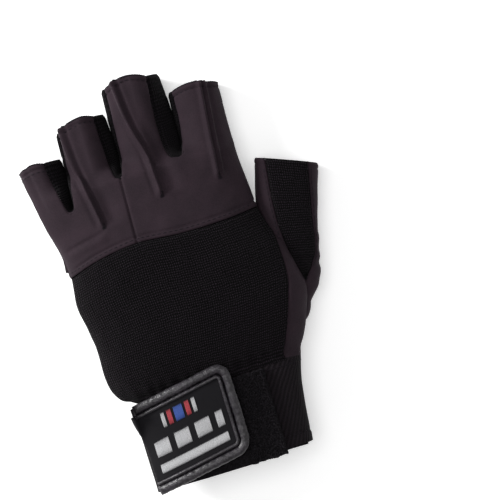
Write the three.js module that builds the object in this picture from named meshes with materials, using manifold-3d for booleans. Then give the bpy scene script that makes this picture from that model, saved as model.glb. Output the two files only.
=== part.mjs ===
// Half-finger weightlifting glove for the left hand, lying palm down.
// Millimetres. +X runs to the thumb side, +Y to the fingertips and +Z up to the back of the hand.
// The origin is on the flat underside of the palm.
import * as THREE from 'three';
import Module from 'manifold-3d';

const wasm = await Module();
wasm.setup();

// Driving dimensions of the hand form
const palmLength = 100; // wrist seam to the finger forks
const wristSeam = -41.5; // place of the wrist seam along Y
const halfWidth = 47.5; // half the width across the knuckles
const bodyHeight = 31; // palm to the back of the hand
const edgeHeight = 12; // height of the side seams
const fingerHeight = 22.5; // height of the tallest finger's opening
const fingerAxis = 9.5; // height of the widest place of a finger
const fingerLength = 45; // fork to the middle finger's tip
const palmSink = 1.2; // how far the palm is pressed flat
const tuckHeight = 1.1; // ridge of a pin tuck
const tuckWidth = 2.8;
const webSpace = 1.6; // clear space between two fingers
const webBulge = 1.5; // how far the fourchettes' forks lie beyond their seams

// Walls and the gap where two pieces are sewn together
const suedeWall = 1.2;
const knitWall = 1.4;
const leatherWall = 1.6;
const elasticWall = 1.8;
const seamGap = 0.55;

// Thumb
const thumbLength = 66; // root to mouth along its axis
const thumbHalfWidth = 14.7; // at the mouth
const thumbHeight = 17.5;
const thumbRootX = halfWidth * 0.895;
const thumbRootY = wristSeam + palmLength * 0.225;
const thumbSeam = 0.4; // space between the thumb and the body
const thumbClear = 0.3; // underside of the thumb above the palm's plane
const insertDrop = 1; // the knit insert's seams end this far below the thumb's middle

// Wrist
const cuffHeight = 39.6;
const cuffThickness = 20.5; // height of the cuff's flattened tube
const cuffLift = 3.8; // underside of the cuff above the palm's plane
const strapWidth = 42.5;
const strapTilt = 9.5; // degrees that the strap leans from square
const strapThickness = 2;
const layerGap = 0.4; // space between layers that lie on each other
const loopPadThickness = 1.6;
const loopPadHeight = 40.2;
const tabThickness = 2.2;
const bindingWidth = 4.6;
const bindingThickness = 3.2;
const cornerRadius = 8;

// Sections of the hand along its length: at is a share of palmLength, ulnar, radial and inset are shares
// of halfWidth, crown of bodyHeight, ulnarSeam and radialSeam of edgeHeight
const stations = [
  { at: 0.0, ulnar: -0.916, radial: 0.811, inset: 0.196, crown: 0.79, ulnarSeam: 1.05, radialSeam: 1.05 },
  { at: 0.055, ulnar: -1.015, radial: 0.869, inset: 0.19, crown: 0.88, ulnarSeam: 1.0, radialSeam: 1.05 },
  { at: 0.145, ulnar: -1.082, radial: 0.96, inset: 0.2, crown: 0.95, ulnarSeam: 1.0, radialSeam: 1.1 },
  { at: 0.265, ulnar: -1.09, radial: 1.048, inset: 0.2, crown: 1.0, ulnarSeam: 1.0, radialSeam: 1.15 },
  { at: 0.365, ulnar: -1.112, radial: 1.032, inset: 0.125, crown: 1.0, ulnarSeam: 1.0, radialSeam: 1.2 },
  { at: 0.485, ulnar: -1.147, radial: 0.973, inset: 0.06, crown: 1.0, ulnarSeam: 1.0, radialSeam: 1.2 },
  { at: 0.57, ulnar: -1.137, radial: 0.905, inset: 0.0, crown: 0.99, ulnarSeam: 1.0, radialSeam: 1.17 },
  { at: 0.615, ulnar: -1.13, radial: 0.867, inset: 0.0, crown: 0.98, ulnarSeam: 1.0, radialSeam: 1.15 },
  { at: 0.7, ulnar: -1.128, radial: 0.82, inset: 0.0, crown: 0.95, ulnarSeam: 1.0, radialSeam: 1.1 },
  { at: 0.865, ulnar: -1.204, radial: 0.79, inset: 0.0, crown: 0.89, ulnarSeam: 0.95, radialSeam: 1.0 },
  { at: 1.0, ulnar: -1.262, radial: 0.787, inset: 0.0, crown: 0.83, ulnarSeam: 0.85, radialSeam: 0.9 },
  { at: 1.16, ulnar: -1.318, radial: 0.794, inset: 0.0, crown: 0.74, ulnarSeam: 0.8, radialSeam: 0.82 },
  { at: 1.47, ulnar: -1.36, radial: 0.82, inset: 0.0, crown: 0.6, ulnarSeam: 0.8, radialSeam: 0.8 },
];

// Fingers: base, tip and half are shares of halfWidth, high of fingerHeight, leftTip, rightTip and arch of
// fingerLength past the forks, tuck a share of the finger's panel at its tip, fork and hem
const fingers = [
  { name: 'pinky', base: -1.053, tip: -1.13, half: 0.217, high: 0.86, leftTip: 0.358, rightTip: 0.385, arch: 0.03, tuck: null },
  { name: 'ring', base: -0.608, tip: -0.598, half: 0.25, high: 0.95, leftTip: 0.64, rightTip: 0.695, arch: 0.06, tuck: [0.18, 0.4, 0.5] },
  { name: 'middle', base: -0.044, tip: -0.008, half: 0.295, high: 1.0, leftTip: 0.93, rightTip: 0.93, arch: 0.07, tuck: [0.26, 0.56, 0.54] },
  { name: 'index', base: 0.524, tip: 0.568, half: 0.255, high: 0.95, leftTip: 0.705, rightTip: 0.67, arch: 0.045, tuck: [0.62, 0.6, 0.59] },
];

// Forks between the fingers: x and gapX are shares of halfWidth, rise a share of fingerLength past the
// forks' height. near and far are how far the seam swings to the left and right finger, as shares of
// halfWidth, at once and then evenly to the tip. The last four columns are the same on the palm side.
const forks = [
  { x: -0.915, rise: -0.18, gapX: -0.872, near: [-0.03, -0.09], far: [0.095, -0.025], palmX: -0.865, palmNear: [-0.06, 0.0], palmFar: [0.07, 0.0] },
  { x: -0.368, rise: 0.015, gapX: -0.333, near: [-0.115, 0.037], far: [0.072, 0.022], palmX: -0.336, palmNear: [-0.07, 0.0], palmFar: [0.09, 0.0] },
  { x: 0.23, rise: 0.05, gapX: 0.285, near: [-0.21, 0.135], far: [0.095, 0.018], palmX: 0.27, palmNear: [-0.06, 0.0], palmFar: [0.1, 0.0] },
];
const palmForkRise = 0.067; // the palm's forks lie this share of fingerLength nearer the tips
const ulnarFork = -0.19; // where the fork row meets the side seams, as shares of fingerLength
const radialFork = -0.01;

// The hem between knuckles and knit, and the seam between leather and heel: across is a share of the
// width from the ulnar side, hem and heel are shares of palmLength from the wrist seam
const crossings = [
  { across: 0.0, hem: 0.63, heel: 0.095 },
  { across: 0.19, hem: 0.675, heel: 0.14 },
  { across: 0.38, hem: 0.695, heel: 0.235 },
  { across: 0.6, hem: 0.68, heel: 0.33 },
  { across: 0.83, hem: 0.683, heel: 0.475 },
  { across: 1.0, hem: 0.7, heel: 0.7 },
];
const hemForks = [0, 0.12, 0.382, 0.7, 1]; // where the finger strips meet the hem, from ulnar to radial

// The thumb along its axis: at is a share of thumbLength, bow and half shares of thumbHalfWidth, high of
// thumbHeight, lean the turn of the axis from +Y towards +X in degrees
const thumbStations = [
  { at: 0.0, bow: 0.0, half: 0.5, high: 0.7 },
  { at: 0.14, bow: -0.02, half: 0.84, high: 0.9 },
  { at: 0.33, bow: -0.07, half: 0.95, high: 0.98 },
  { at: 0.55, bow: -0.07, half: 0.97, high: 1.0 },
  { at: 0.78, bow: -0.02, half: 0.98, high: 1.0 },
  { at: 1.0, bow: 0.05, half: 1.0, high: 1.02 },
];
const thumbLean = 12.8;
const thumbMouthLean = 21.4; // the mouth's own slant
// The knit insert's seams: at is a share of thumbLength, left and right shares of thumbHalfWidth
const insertSeams = [
  { at: 0.16, left: 0.36, right: 0.42 },
  { at: 0.35, left: -0.06, right: 0.76 },
  { at: 0.6, left: -0.4, right: 0.74 },
  { at: 1.04, left: -0.68, right: 0.72 },
];

// The cuff and strap from top to bottom: at is a share of cuffHeight, ulnar and radial are shares of
// halfWidth
const cuffStations = [
  { at: 0.0, ulnar: -0.83, radial: 0.8 },
  { at: 0.35, ulnar: -0.8, radial: 0.73 },
  { at: 1.0, ulnar: -0.8, radial: 0.665 },
];
// Ends of the layers as shares of halfWidth, and the strap's ends as angles round the cuff in degrees
const strapUlnar = -0.895;
const tabEnd = 0.095;
const loopStart = -0.72;
const loopEnd = 0.41;
const strapEndAngle = 91;
const strapRootAngle = 312;

const point = (x, y, z) => new THREE.Vector3(x, y, z);
const mix = THREE.MathUtils.lerp;
const smooth = (a, b, v) => THREE.MathUtils.smoothstep(v, a, b);
const turn = THREE.MathUtils.degToRad;

// A smooth value from a table with shares in its column at: a cubic through its rows
function follow(table, column, at, key = 'at') {
  let i = 0;
  while (i < table.length - 2 && at > table[i + 1][key]) i += 1;
  const slope = (a, b) => (table[b][column] - table[a][column]) / (table[b][key] - table[a][key]);
  const last = table.length - 1;
  const span = table[i + 1][key] - table[i][key];
  const t = THREE.MathUtils.clamp((at - table[i][key]) / span, 0, 1);
  const from = slope(Math.max(i - 1, 0), i + 1) * span;
  const to = slope(i, Math.min(i + 2, last)) * span;
  const a = table[i][column];
  const b = table[i + 1][column];
  const cubic = 2 * t ** 3 - 3 * t ** 2;
  return a * (cubic + 1) + from * (t ** 3 - 2 * t ** 2 + t) - b * cubic + to * (t ** 3 - t ** 2);
}

// Form of the hand: its side seams and the heights of back and palm
const shareAt = (y) => (y - wristSeam) / palmLength;
const ulnarX = (y) => halfWidth * follow(stations, 'ulnar', shareAt(y));
const radialX = (y) => halfWidth * follow(stations, 'radial', shareAt(y));
const backLimit = (y) => radialX(y) - halfWidth * Math.max(0, follow(stations, 'inset', shareAt(y)));
const seamHeight = (y, across) => edgeHeight * mix(
  follow(stations, 'ulnarSeam', shareAt(y)),
  follow(stations, 'radialSeam', shareAt(y)),
  smooth(0.2, 0.8, across),
);
const forkY = wristSeam + palmLength;
const hemY = (across) => wristSeam + palmLength * follow(crossings, 'hem', across, 'across');
const heelY = (across) => wristSeam + palmLength * follow(crossings, 'heel', across, 'across');
const blend = (values, power) => values.reduce((sum, v) => sum + Math.max(v, 0) ** power, 0) ** (1 / power);
const arc = (u, power) => Math.max(0, 1 - Math.min(Math.abs(u), 1) ** power) ** (1 / power);

function fingerCentre(finger, y) {
  const along = (shareAt(y) - 0.9) / 0.5;
  return halfWidth * mix(finger.base, finger.tip, along);
}

function backHeight(x, y) {
  const left = ulnarX(y);
  const right = radialX(y);
  const across = (x - left) / (right - left);
  const side = seamHeight(y, across);
  const crown = bodyHeight * follow(stations, 'crown', shareAt(y));
  const fade = 1 - smooth(0.99, 1.2, shareAt(y));
  const heights = [(side + (crown - side) * arc(2 * across - 1, 2.4)) * fade];
  for (const finger of fingers) {
    const off = (x - fingerCentre(finger, y)) / (finger.half * halfWidth);
    const drop = Math.max(0, Math.abs(off) - 1) * fingerAxis * 3;
    const top = fingerHeight * finger.high;
    heights.push((fingerAxis + (top - fingerAxis) * arc(off, 2) - drop) * smooth(0.5, 0.9, shareAt(y)));
  }
  return blend(heights, 9);
}

function palmHeight(x, y) {
  const left = ulnarX(y);
  const right = radialX(y);
  const across = (x - left) / (right - left);
  const side = seamHeight(y, across);
  const fade = 1 - smooth(1.02, 1.2, shareAt(y));
  const depths = [(edgeHeight - side + (side + palmSink) * arc(2 * across - 1, 2.6)) * fade];
  for (const finger of fingers) {
    const off = (x - fingerCentre(finger, y)) / (finger.half * halfWidth);
    const depth = edgeHeight - fingerAxis + (fingerAxis + palmSink) * arc(off, 2);
    depths.push(depth * smooth(0.5, 0.9, shareAt(y)));
  }
  return Math.max(0, edgeHeight - blend(depths, 9));
}

const onBack = (x, y) => point(x, y, backHeight(x, y));
const onPalm = (x, y) => point(x, y, palmHeight(x, y));
const onUlnar = (y) => point(ulnarX(y), y, seamHeight(y, 0));
const onRadial = (y) => point(radialX(y), y, seamHeight(y, 1));

// The skin: all outer surfaces share their points along the seams, so that each piece's wall is
// mitred there
const skin = { points: [], normals: [], panels: new Map() };
const samePlace = 0.01; // points closer than this are one

function skinPoint(p) {
  const known = skin.points.findIndex((q) => q.distanceToSquared(p) < samePlace ** 2);
  if (known >= 0) return known;
  skin.points.push(p);
  skin.normals.push(point(0, 0, 0));
  return skin.points.length - 1;
}

function addTriangle(panel, a, b, c) {
  if (a === b || b === c || c === a) return;
  const [pa, pb, pc] = [a, b, c].map((i) => skin.points[i]);
  const normal = pb.clone().sub(pa).cross(pc.clone().sub(pa));
  if (normal.length() < 1e-6) return;
  [a, b, c].forEach((i) => skin.normals[i].add(normal));
  skin.panels.get(panel).push([a, b, c]);
}

// A patch of rows of points; its outer side is where the columns turn to the rows counterclockwise
function addPatch(panel, rows, flip = false) {
  if (!skin.panels.has(panel)) skin.panels.set(panel, []);
  const ids = rows.map((row) => row.map(skinPoint));
  for (let j = 0; j + 1 < ids.length; j += 1) {
    for (let i = 0; i + 1 < ids[j].length; i += 1) {
      const [a, b, c, d] = [ids[j][i], ids[j][i + 1], ids[j + 1][i + 1], ids[j + 1][i]];
      const pairs = flip ? [[a, c, b], [a, d, c]] : [[a, b, c], [a, c, d]];
      pairs.forEach((t) => addTriangle(panel, ...t));
    }
  }
}

const steps = (n) => Array.from({ length: n + 1 }, (_, i) => i / n);
const grid = (rows, columns, place) => rows.map((r, j) => columns.map((c, i) => place(r, c, j, i)));

const wristRows = steps(6);
const knuckleRows = steps(5);
const fingerRows = [0, 0.02, 0.08, 0.19, 0.35, 0.53, 0.7, 1];
const bandRow = 6; // the finger row where the tip bands start

// Shares down the ulnar seam, with one point where the heel seam ends
const heelShare = (heelY(0) - wristSeam) / (hemY(0) - wristSeam);
const ulnarRows = wristRows.map((r, j) => (j < 2 ? r * heelShare * 6 : mix(heelShare, 1, (j - 1) / 5)));

const forkHeight = (rise) => forkY + fingerLength * rise;
const forkPoints = [
  point(ulnarX(forkHeight(ulnarFork)), forkHeight(ulnarFork), 0),
  ...forks.map((f) => point(halfWidth * f.x, forkHeight(f.rise), 0)),
  point(radialX(forkHeight(radialFork)), forkHeight(radialFork), 0),
];
const palmForkPoints = [
  forkPoints[0],
  ...forks.map((f) => point(halfWidth * f.palmX, forkHeight(f.rise + palmForkRise), 0)),
  forkPoints[4],
];

// Columns of a finger's strip as shares of its width, closer at the side seams and at the tuck
function columns(k, row, width) {
  const { tuck } = fingers[k];
  if (!tuck) return [0, 0.06, 0.2, 0.42, 0.7, 1];
  const centre = row < 0 ? mix(tuck[1], tuck[2], -row) : mix(tuck[1], tuck[0], row);
  const ridge = tuckWidth / 2 / width;
  const before = centre - ridge;
  const after = centre + ridge;
  const wide = k === 3 ? [0.4, 0.75, 0.93] : [0.33, 0.66];
  return [0, before * 0.5, before, centre, after, ...wide.map((w) => mix(after, 1, w)), 1];
}
const tuckColumn = 3;

// The plan of a finger's two seams from fork to tip
const swing = (pair, q) => halfWidth * (pair[0] * q ** 0.3 + pair[1] * q);
const tipY = (share) => forkY + fingerLength * share;

function leftSeam(k, q, palm) {
  const start = (palm ? palmForkPoints : forkPoints)[k];
  const y = mix(start.y, tipY(fingers[k].leftTip), q);
  if (k === 0) return point(ulnarX(y), y, 0);
  return point(start.x + swing(palm ? forks[k - 1].palmFar : forks[k - 1].far, q), y, 0);
}

function rightSeam(k, q, palm) {
  const start = (palm ? palmForkPoints : forkPoints)[k + 1];
  const y = mix(start.y, tipY(fingers[k].rightTip), q);
  if (k === 3) return point(radialX(y), y, 0);
  return point(start.x + swing(palm ? forks[k].palmNear : forks[k].near, q), y, 0);
}

function fingerPoint(k, q, t, palm) {
  const flat = leftSeam(k, q, palm).lerp(rightSeam(k, q, palm), t);
  if (k === 0 && t === 0) return onUlnar(flat.y);
  if (k === 3 && t === 1) return onRadial(flat.y);
  const y = flat.y + fingerLength * fingers[k].arch * q * 4 * t * (1 - t);
  return palm ? onPalm(flat.x, y) : onBack(flat.x, y);
}

// Back of the hand: the knit below the hem, the suede above it and over each finger
const hemColumns = fingers.flatMap((finger, k) => {
  const width = (hemForks[k + 1] - hemForks[k]) * 2 * halfWidth;
  const list = columns(k, -1, width).map((t) => mix(hemForks[k], hemForks[k + 1], t));
  return k === 0 ? list : list.slice(1);
});

function hemPoint(c) {
  const y = hemY(c);
  if (c === 0) return onUlnar(y);
  if (c === 1) return onRadial(y);
  return onBack(mix(ulnarX(y), backLimit(y), c), y);
}

addPatch('knit_panel', grid(wristRows, hemColumns, (r, c, j) => {
  if (j === 6) return hemPoint(c);
  const y = mix(wristSeam, hemY(c), mix(ulnarRows[j], r, c));
  return c === 0 ? onUlnar(y) : onBack(mix(ulnarX(y), backLimit(y), c), y);
}));

fingers.forEach((finger, k) => {
  const hemWidth = (hemForks[k + 1] - hemForks[k]) * 2 * halfWidth;
  const forkWidth = forkPoints[k + 1].x - forkPoints[k].x;
  addPatch('knuckle_panel', grid(knuckleRows, columns(k, -1, hemWidth), (r, t0, j, i) => {
    const hem = hemPoint(mix(hemForks[k], hemForks[k + 1], t0));
    if (j === 0) return hem;
    const t = columns(k, 0, forkWidth)[i];
    const top = fingerPoint(k, 0, t, false);
    const y = mix(hem.y, top.y, r);
    if (k === 0 && i === 0) return onUlnar(y);
    if (k === 3 && t === 1) return onRadial(y);
    const p = onBack(mix(hem.x, top.x, r), y);
    if (finger.tuck && i === tuckColumn) p.z += tuckHeight * smooth(0.25, 0.6, r);
    return p;
  }));
  addPatch('knuckle_panel', grid(fingerRows, columns(k, 0, forkWidth), (q, t0, j, i) => {
    const width = rightSeam(k, q, false).x - leftSeam(k, q, false).x;
    const p = fingerPoint(k, q, columns(k, q, j === 0 ? forkWidth : width)[i], false);
    if (finger.tuck && i === tuckColumn) p.z += tuckHeight;
    return p;
  }));
});

// Side of the heel panel: from the radial seam round to the knit on the back
addPatch('heel_panel', grid(wristRows, [0, 0.08, 0.3, 0.62, 1], (r, m) => {
  const y = mix(wristSeam, hemY(1), r);
  const x = mix(radialX(y), backLimit(y), m);
  return m === 0 || r === 1 ? onRadial(y) : onBack(x, y);
}), true);

// Palm: the heel below its seam, the leather above it
const palmForkShares = palmForkPoints.map((p) => (p.x - ulnarX(p.y)) / (radialX(p.y) - ulnarX(p.y)));
const palmColumns = [
  [0, 0.08, 0.3, 0.62, 1],
  [0, 0.25, 0.5, 0.75, 1],
  [0, 0.25, 0.5, 0.75, 1],
  [0, 0.38, 0.7, 0.92, 1],
];
const palmShares = palmColumns.flatMap((list, k) => {
  const shares = list.map((t) => mix(palmForkShares[k], palmForkShares[k + 1], t));
  return k === 0 ? shares : shares.slice(1);
});

function palmPoint(p, y) {
  if (p === 0) return onUlnar(y);
  if (p === 1) return onRadial(y);
  return onPalm(mix(ulnarX(y), radialX(y), p), y);
}

addPatch('heel_panel', grid(wristRows, palmShares, (r, p, j) => {
  const share = p === 0 ? Math.min(j, 1) : r;
  return palmPoint(p, mix(wristSeam, heelY(p), share));
}), true);

// Rows of the leather: the ulnar side follows the knit and the knuckles, and the rows that the knit
// takes up run together at the radial end of the heel seam
const leatherRows = [1, 2, 3, 4, 5, 6, 7, 8, 9, 10, 11];
const ulnarSpan = forkPoints[0].y - heelY(0);

function leatherShare(j, p) {
  const knuckle = Math.max(0, j - 6) / 5;
  const ulnarY = j <= 6
    ? mix(wristSeam, hemY(0), ulnarRows[j])
    : mix(hemY(0), forkPoints[0].y, knuckle);
  const ulnarShare = (ulnarY - heelY(0)) / ulnarSpan;
  return mix(ulnarShare, knuckle, p);
}

function palmForkRow(p) {
  let k = 0;
  while (k < 3 && p > palmForkShares[k + 1] + 1e-9) k += 1;
  const t = (p - palmForkShares[k]) / (palmForkShares[k + 1] - palmForkShares[k]);
  return fingerPoint(k, 0, t, true);
}

addPatch('palm_leather', grid(leatherRows, palmShares, (j, p) => {
  const top = palmForkRow(p);
  if (j === 11) return top;
  const y = mix(heelY(p), top.y, leatherShare(j, p));
  return palmPoint(p, y);
}), true);

fingers.forEach((finger, k) => {
  const rows = grid(fingerRows, palmColumns[k], (q, t) => fingerPoint(k, q, t, true));
  addPatch('palm_leather', rows.slice(0, bandRow + 1), true);
  addPatch(`tip_band_${finger.name}`, rows.slice(bandRow), true);
});

// Fourchettes: a strip from one finger's tip down round the fork and up the next finger
forks.forEach((fork, f) => {
  const path = [...fingerRows].reverse().map((q) => [f, q]);
  path.push(...fingerRows.slice(1).map((q) => [f + 1, q]));
  const rows = path.map(([k, q]) => {
    const isLeft = k === f && q > 0;
    const t = k === f ? 1 : 0;
    const top = fingerPoint(k, q, t, false);
    const low = fingerPoint(k, q, t, true);
    const middle = top.clone().lerp(low, 0.5);
    const target = middle.clone();
    if (q === 0) target.y += webBulge;
    target.x = halfWidth * fork.gapX + (q === 0 ? 0 : (isLeft ? -1 : 1) * webSpace / 2);
    const push = target.sub(middle);
    return [0, 0.16, 0.36, 0.6, 0.82, 1].map((s) => {
      if (s === 0) return top.clone();
      if (s === 1) return low.clone();
      return top.clone().lerp(low, s).addScaledVector(push, 4 * s * (1 - s));
    });
  });
  addPatch(`fourchette_${fingers[f].name}_${fingers[f + 1].name}`, rows, true);
});
skin.normals.forEach((n) => n.normalize());

// Meshes and solids
function meshOf(positions, triangles) {
  const geometry = new THREE.BufferGeometry();
  geometry.setAttribute('position', new THREE.Float32BufferAttribute(positions.flatMap((p) => p.toArray()), 3));
  geometry.setIndex(triangles.flat());
  return geometry;
}

function solidOf(geometry) {
  return new wasm.Manifold(new wasm.Mesh({
    numProp: 3,
    vertProperties: new Float32Array(geometry.attributes.position.array),
    triVerts: new Uint32Array(geometry.index.array),
  }));
}

function geometryOf(solid) {
  const mesh = solid.getMesh();
  const geometry = new THREE.BufferGeometry();
  geometry.setAttribute('position', new THREE.Float32BufferAttribute(mesh.vertProperties, 3));
  geometry.setIndex(Array.from(mesh.triVerts));
  return geometry;
}

// A closed solid through rings of points that run clockwise about the way they advance
function tubeSolid(rings) {
  const sides = rings[0].length;
  const faces = [];
  for (let j = 0; j + 1 < rings.length; j += 1) {
    for (let i = 0; i < sides; i += 1) {
      const [a, b] = [j * sides + i, j * sides + (i + 1) % sides];
      faces.push([a, b + sides, b], [a, a + sides, b + sides]);
    }
  }
  const last = (rings.length - 1) * sides;
  for (let i = 1; i + 1 < sides; i += 1) {
    faces.push([0, i, i + 1], [last, last + i + 1, last + i]);
  }
  return meshOf(rings.flat(), faces);
}

// Edges that belong to one triangle only, as they run round the piece
function openEdges(triangles) {
  const edges = new Map();
  for (const [a, b, c] of triangles) {
    for (const [p, q] of [[a, b], [b, c], [c, a]]) {
      if (edges.has(`${q} ${p}`)) edges.delete(`${q} ${p}`);
      else edges.set(`${p} ${q}`, [p, q, [a, b, c]]);
    }
  }
  return [...edges.values()];
}

// A closed wall: the outer surface, the same surface moved in, and a rim, drawn back from the seams.
// Both pieces at a seam split the rim's faces the same way, so that they lie face to face.
function wallOf(points, normals, triangles, wall, gap) {
  const used = [...new Set(triangles.flat())];
  const slot = new Map(used.map((id, i) => [id, i]));
  const rim = openEdges(triangles);
  const drawn = new Map();
  for (const [p, q, [a, b, c]] of rim) {
    const face = points[b].clone().sub(points[a]).cross(points[c].clone().sub(points[a])).normalize();
    const inward = face.cross(points[q].clone().sub(points[p])).normalize();
    for (const id of [p, q]) {
      if (!drawn.has(id)) drawn.set(id, point(0, 0, 0));
      drawn.get(id).add(inward);
    }
  }
  const outer = used.map((id) => {
    const inward = drawn.get(id);
    const p = points[id].clone();
    return inward ? p.addScaledVector(inward, gap / Math.max(inward.lengthSq(), 1)) : p;
  });
  const inner = used.map((id, i) => outer[i].clone().addScaledVector(normals[id], -wall));
  const n = used.length;
  const faces = triangles.map((t) => t.map((id) => slot.get(id)));
  faces.push(...triangles.map(([a, b, c]) => [slot.get(c) + n, slot.get(b) + n, slot.get(a) + n]));
  for (const [p, q] of rim) {
    const [i, j] = [slot.get(p), slot.get(q)];
    if (p < q) faces.push([j, i, i + n], [j, i + n, j + n]);
    else faces.push([j, i, j + n], [i, i + n, j + n]);
  }
  return meshOf([...outer, ...inner], faces);
}

const panelWall = (name, wall) => wallOf(skin.points, skin.normals, skin.panels.get(name), wall, seamGap);

// The whole hand form as one closed solid, a little larger, which cuts the thumb's root
function handForm(grow) {
  const triangles = [...skin.panels.values()].flat();
  const points = skin.points.map((p, i) => p.clone().addScaledVector(skin.normals[i], grow));
  const next = new Map(openEdges(triangles).map(([p, q]) => [q, p]));
  const caps = [];
  while (next.size) {
    const [first] = next.keys();
    const centre = points.length;
    const sum = point(0, 0, 0);
    let count = 0;
    let id = first;
    do {
      const to = next.get(id);
      next.delete(id);
      caps.push([id, to, centre]);
      sum.add(points[id]);
      count += 1;
      id = to;
    } while (id !== first);
    points.push(sum.divideScalar(count));
  }
  return solidOf(meshOf(points, [...triangles, ...caps]));
}

// Thumb: a flattened tube along a slightly bowed axis, whose mouth is cut on a slant
const thumbSides = 24;
const thumbAlong = point(Math.sin(turn(thumbLean)), Math.cos(turn(thumbLean)), 0);
const thumbAcross = point(thumbAlong.y, -thumbAlong.x, 0);
const thumbMiddle = thumbHeight / 2 + thumbClear;

function thumbPlace(at, off, z) {
  const slant = Math.tan(turn(thumbMouthLean - thumbLean)) * smooth(0.5, 1, at);
  const along = thumbLength * at - off * slant;
  return point(thumbRootX, thumbRootY, z).addScaledVector(thumbAlong, along).addScaledVector(thumbAcross, off);
}

function thumbTube(shrink, from, to, rings) {
  const rows = steps(rings).map((s) => mix(from, to, s)).map((at) => {
    const inside = THREE.MathUtils.clamp(at, 0, 1);
    const half = thumbHalfWidth * follow(thumbStations, 'half', inside) - shrink;
    const high = thumbHeight / 2 * follow(thumbStations, 'high', inside) - shrink;
    const bow = thumbHalfWidth * follow(thumbStations, 'bow', inside);
    return steps(thumbSides).slice(0, -1).map((s) => {
      const angle = s * 2 * Math.PI;
      const reach = (Math.abs(Math.cos(angle)) ** 2.3 + Math.abs(Math.sin(angle)) ** 2.3) ** (-1 / 2.3);
      const z = thumbMiddle + high * reach * Math.sin(angle);
      return thumbPlace(at, bow + half * reach * Math.cos(angle), z);
    });
  });
  return solidOf(tubeSolid(rows));
}

// A tall block over the area between two lines of the thumb, to part the knit insert from the suede
function insertBlock(grow) {
  const side = grow / thumbHalfWidth;
  const rows = insertSeams.map((row) => [row.left - side, row.right + side, row.at]);
  rows[0][2] -= grow / thumbLength;
  const low = thumbMiddle - insertDrop - grow;
  const high = thumbHeight * 2;
  const corners = rows.map(([left, right, at]) => [
    thumbPlace(at, right * thumbHalfWidth, low),
    thumbPlace(at, right * thumbHalfWidth, high),
    thumbPlace(at, left * thumbHalfWidth, high),
    thumbPlace(at, left * thumbHalfWidth, low),
  ]);
  return solidOf(tubeSolid(corners));
}

const thumbOuter = thumbTube(0, 0, 1, 8);
const thumbHollow = thumbTube(suedeWall, 0.04, 1.1, 8);
const thumbShell = thumbOuter.subtract(thumbHollow).subtract(handForm(thumbSeam));
const thumbKnit = thumbShell.intersect(insertBlock(0));
const thumbPanel = thumbShell.subtract(insertBlock(seamGap));
const thumbWay = thumbTube(suedeWall * 1.5, 0.12, 0.6, 6);
const heelPanel = solidOf(panelWall('heel_panel', suedeWall)).subtract(thumbWay);

// Cuff: a flattened elastic tube, which narrows on the thumb side
const cuffTop = wristSeam - seamGap;
const cuffMiddle = cuffLift + cuffThickness / 2;
const cuffPower = 2.7;
const cuffSides = 36;

function wristPoint(down, angle, out) {
  const at = THREE.MathUtils.clamp(down / cuffHeight, 0, 1);
  const ulnar = halfWidth * follow(cuffStations, 'ulnar', at);
  const radial = halfWidth * follow(cuffStations, 'radial', at);
  const [c, s] = [Math.cos(angle), Math.sin(angle)];
  const reach = (Math.abs(c) ** cuffPower + Math.abs(s) ** cuffPower) ** (-1 / cuffPower);
  const x = (ulnar + radial) / 2 + ((radial - ulnar) / 2 + out) * reach * c;
  return point(x, cuffTop - down, cuffMiddle + (cuffThickness / 2 + out) * reach * s);
}

// A closed band: rows of outer points over rows of inner points, open or joined round its columns
function bandSolid(outer, inner, closed) {
  const rows = outer.length;
  const width = outer[0].length;
  const half = rows * width;
  const faces = [];
  const quad = (a, b, c, d) => faces.push([a, b, c], [a, c, d]);
  const turns = closed ? width : width - 1;
  for (let j = 0; j + 1 < rows; j += 1) {
    for (let i = 0; i < turns; i += 1) {
      const [a, b] = [j * width + i, j * width + (i + 1) % width];
      quad(a, a + width, b + width, b);
      quad(half + a, half + b, half + b + width, half + a + width);
    }
    if (!closed) {
      const [a, b] = [j * width, j * width + width - 1];
      quad(a, half + a, half + a + width, a + width);
      quad(b, b + width, half + b + width, half + b);
    }
  }
  for (let i = 0; i < turns; i += 1) {
    const k = (i + 1) % width;
    quad(i, k, half + k, half + i);
    const [a, b] = [(rows - 1) * width + i, (rows - 1) * width + k];
    quad(a, half + a, half + b, b);
  }
  return meshOf([...outer.flat(), ...inner.flat()], faces);
}

const cuffAngles = steps(cuffSides).slice(0, -1).map((s) => -s * 2 * Math.PI);
const cuffRing = (down, out) => cuffAngles.map((angle) => wristPoint(down, angle, out));
const cuffRows = steps(4).map((s) => s * cuffHeight);

function cuff() {
  const outer = cuffRows.map((down) => cuffRing(down, 0));
  const inner = cuffRows.map((down) => cuffRing(down, -elasticWall));
  return bandSolid(outer, inner, true);
}

// Layers on the back of the cuff, each this far out from the cuff's surface
const padOut = layerGap;
const strapOut = padOut + loopPadThickness + layerGap;
const tabOut = strapOut + strapThickness + layerGap;

// Height of the cuff's back, this far out from its surface
function cuffBack(x, out) {
  const radial = halfWidth * cuffStations[0].radial;
  const middle = (halfWidth * cuffStations[0].ulnar + radial) / 2;
  return cuffMiddle + (cuffThickness / 2 + out) * arc((x - middle) / (radial - middle + out), cuffPower);
}

// How far the strap and tab rise where they run up over the glove's back
const strapReach = Math.abs(halfWidth * (tabEnd - strapUlnar)) * Math.tan(turn(strapTilt)); // past the seam
function lift(x, y) {
  const glove = backHeight(x, wristSeam + strapReach) + layerGap;
  const rise = Math.max(0, glove - cuffBack(x, strapOut));
  return rise * smooth(wristSeam - strapWidth * 0.6, wristSeam - layerGap, y);
}

const overWrist = (x, y, out) => point(x, y, cuffBack(x, out) + lift(x, y));

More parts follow.
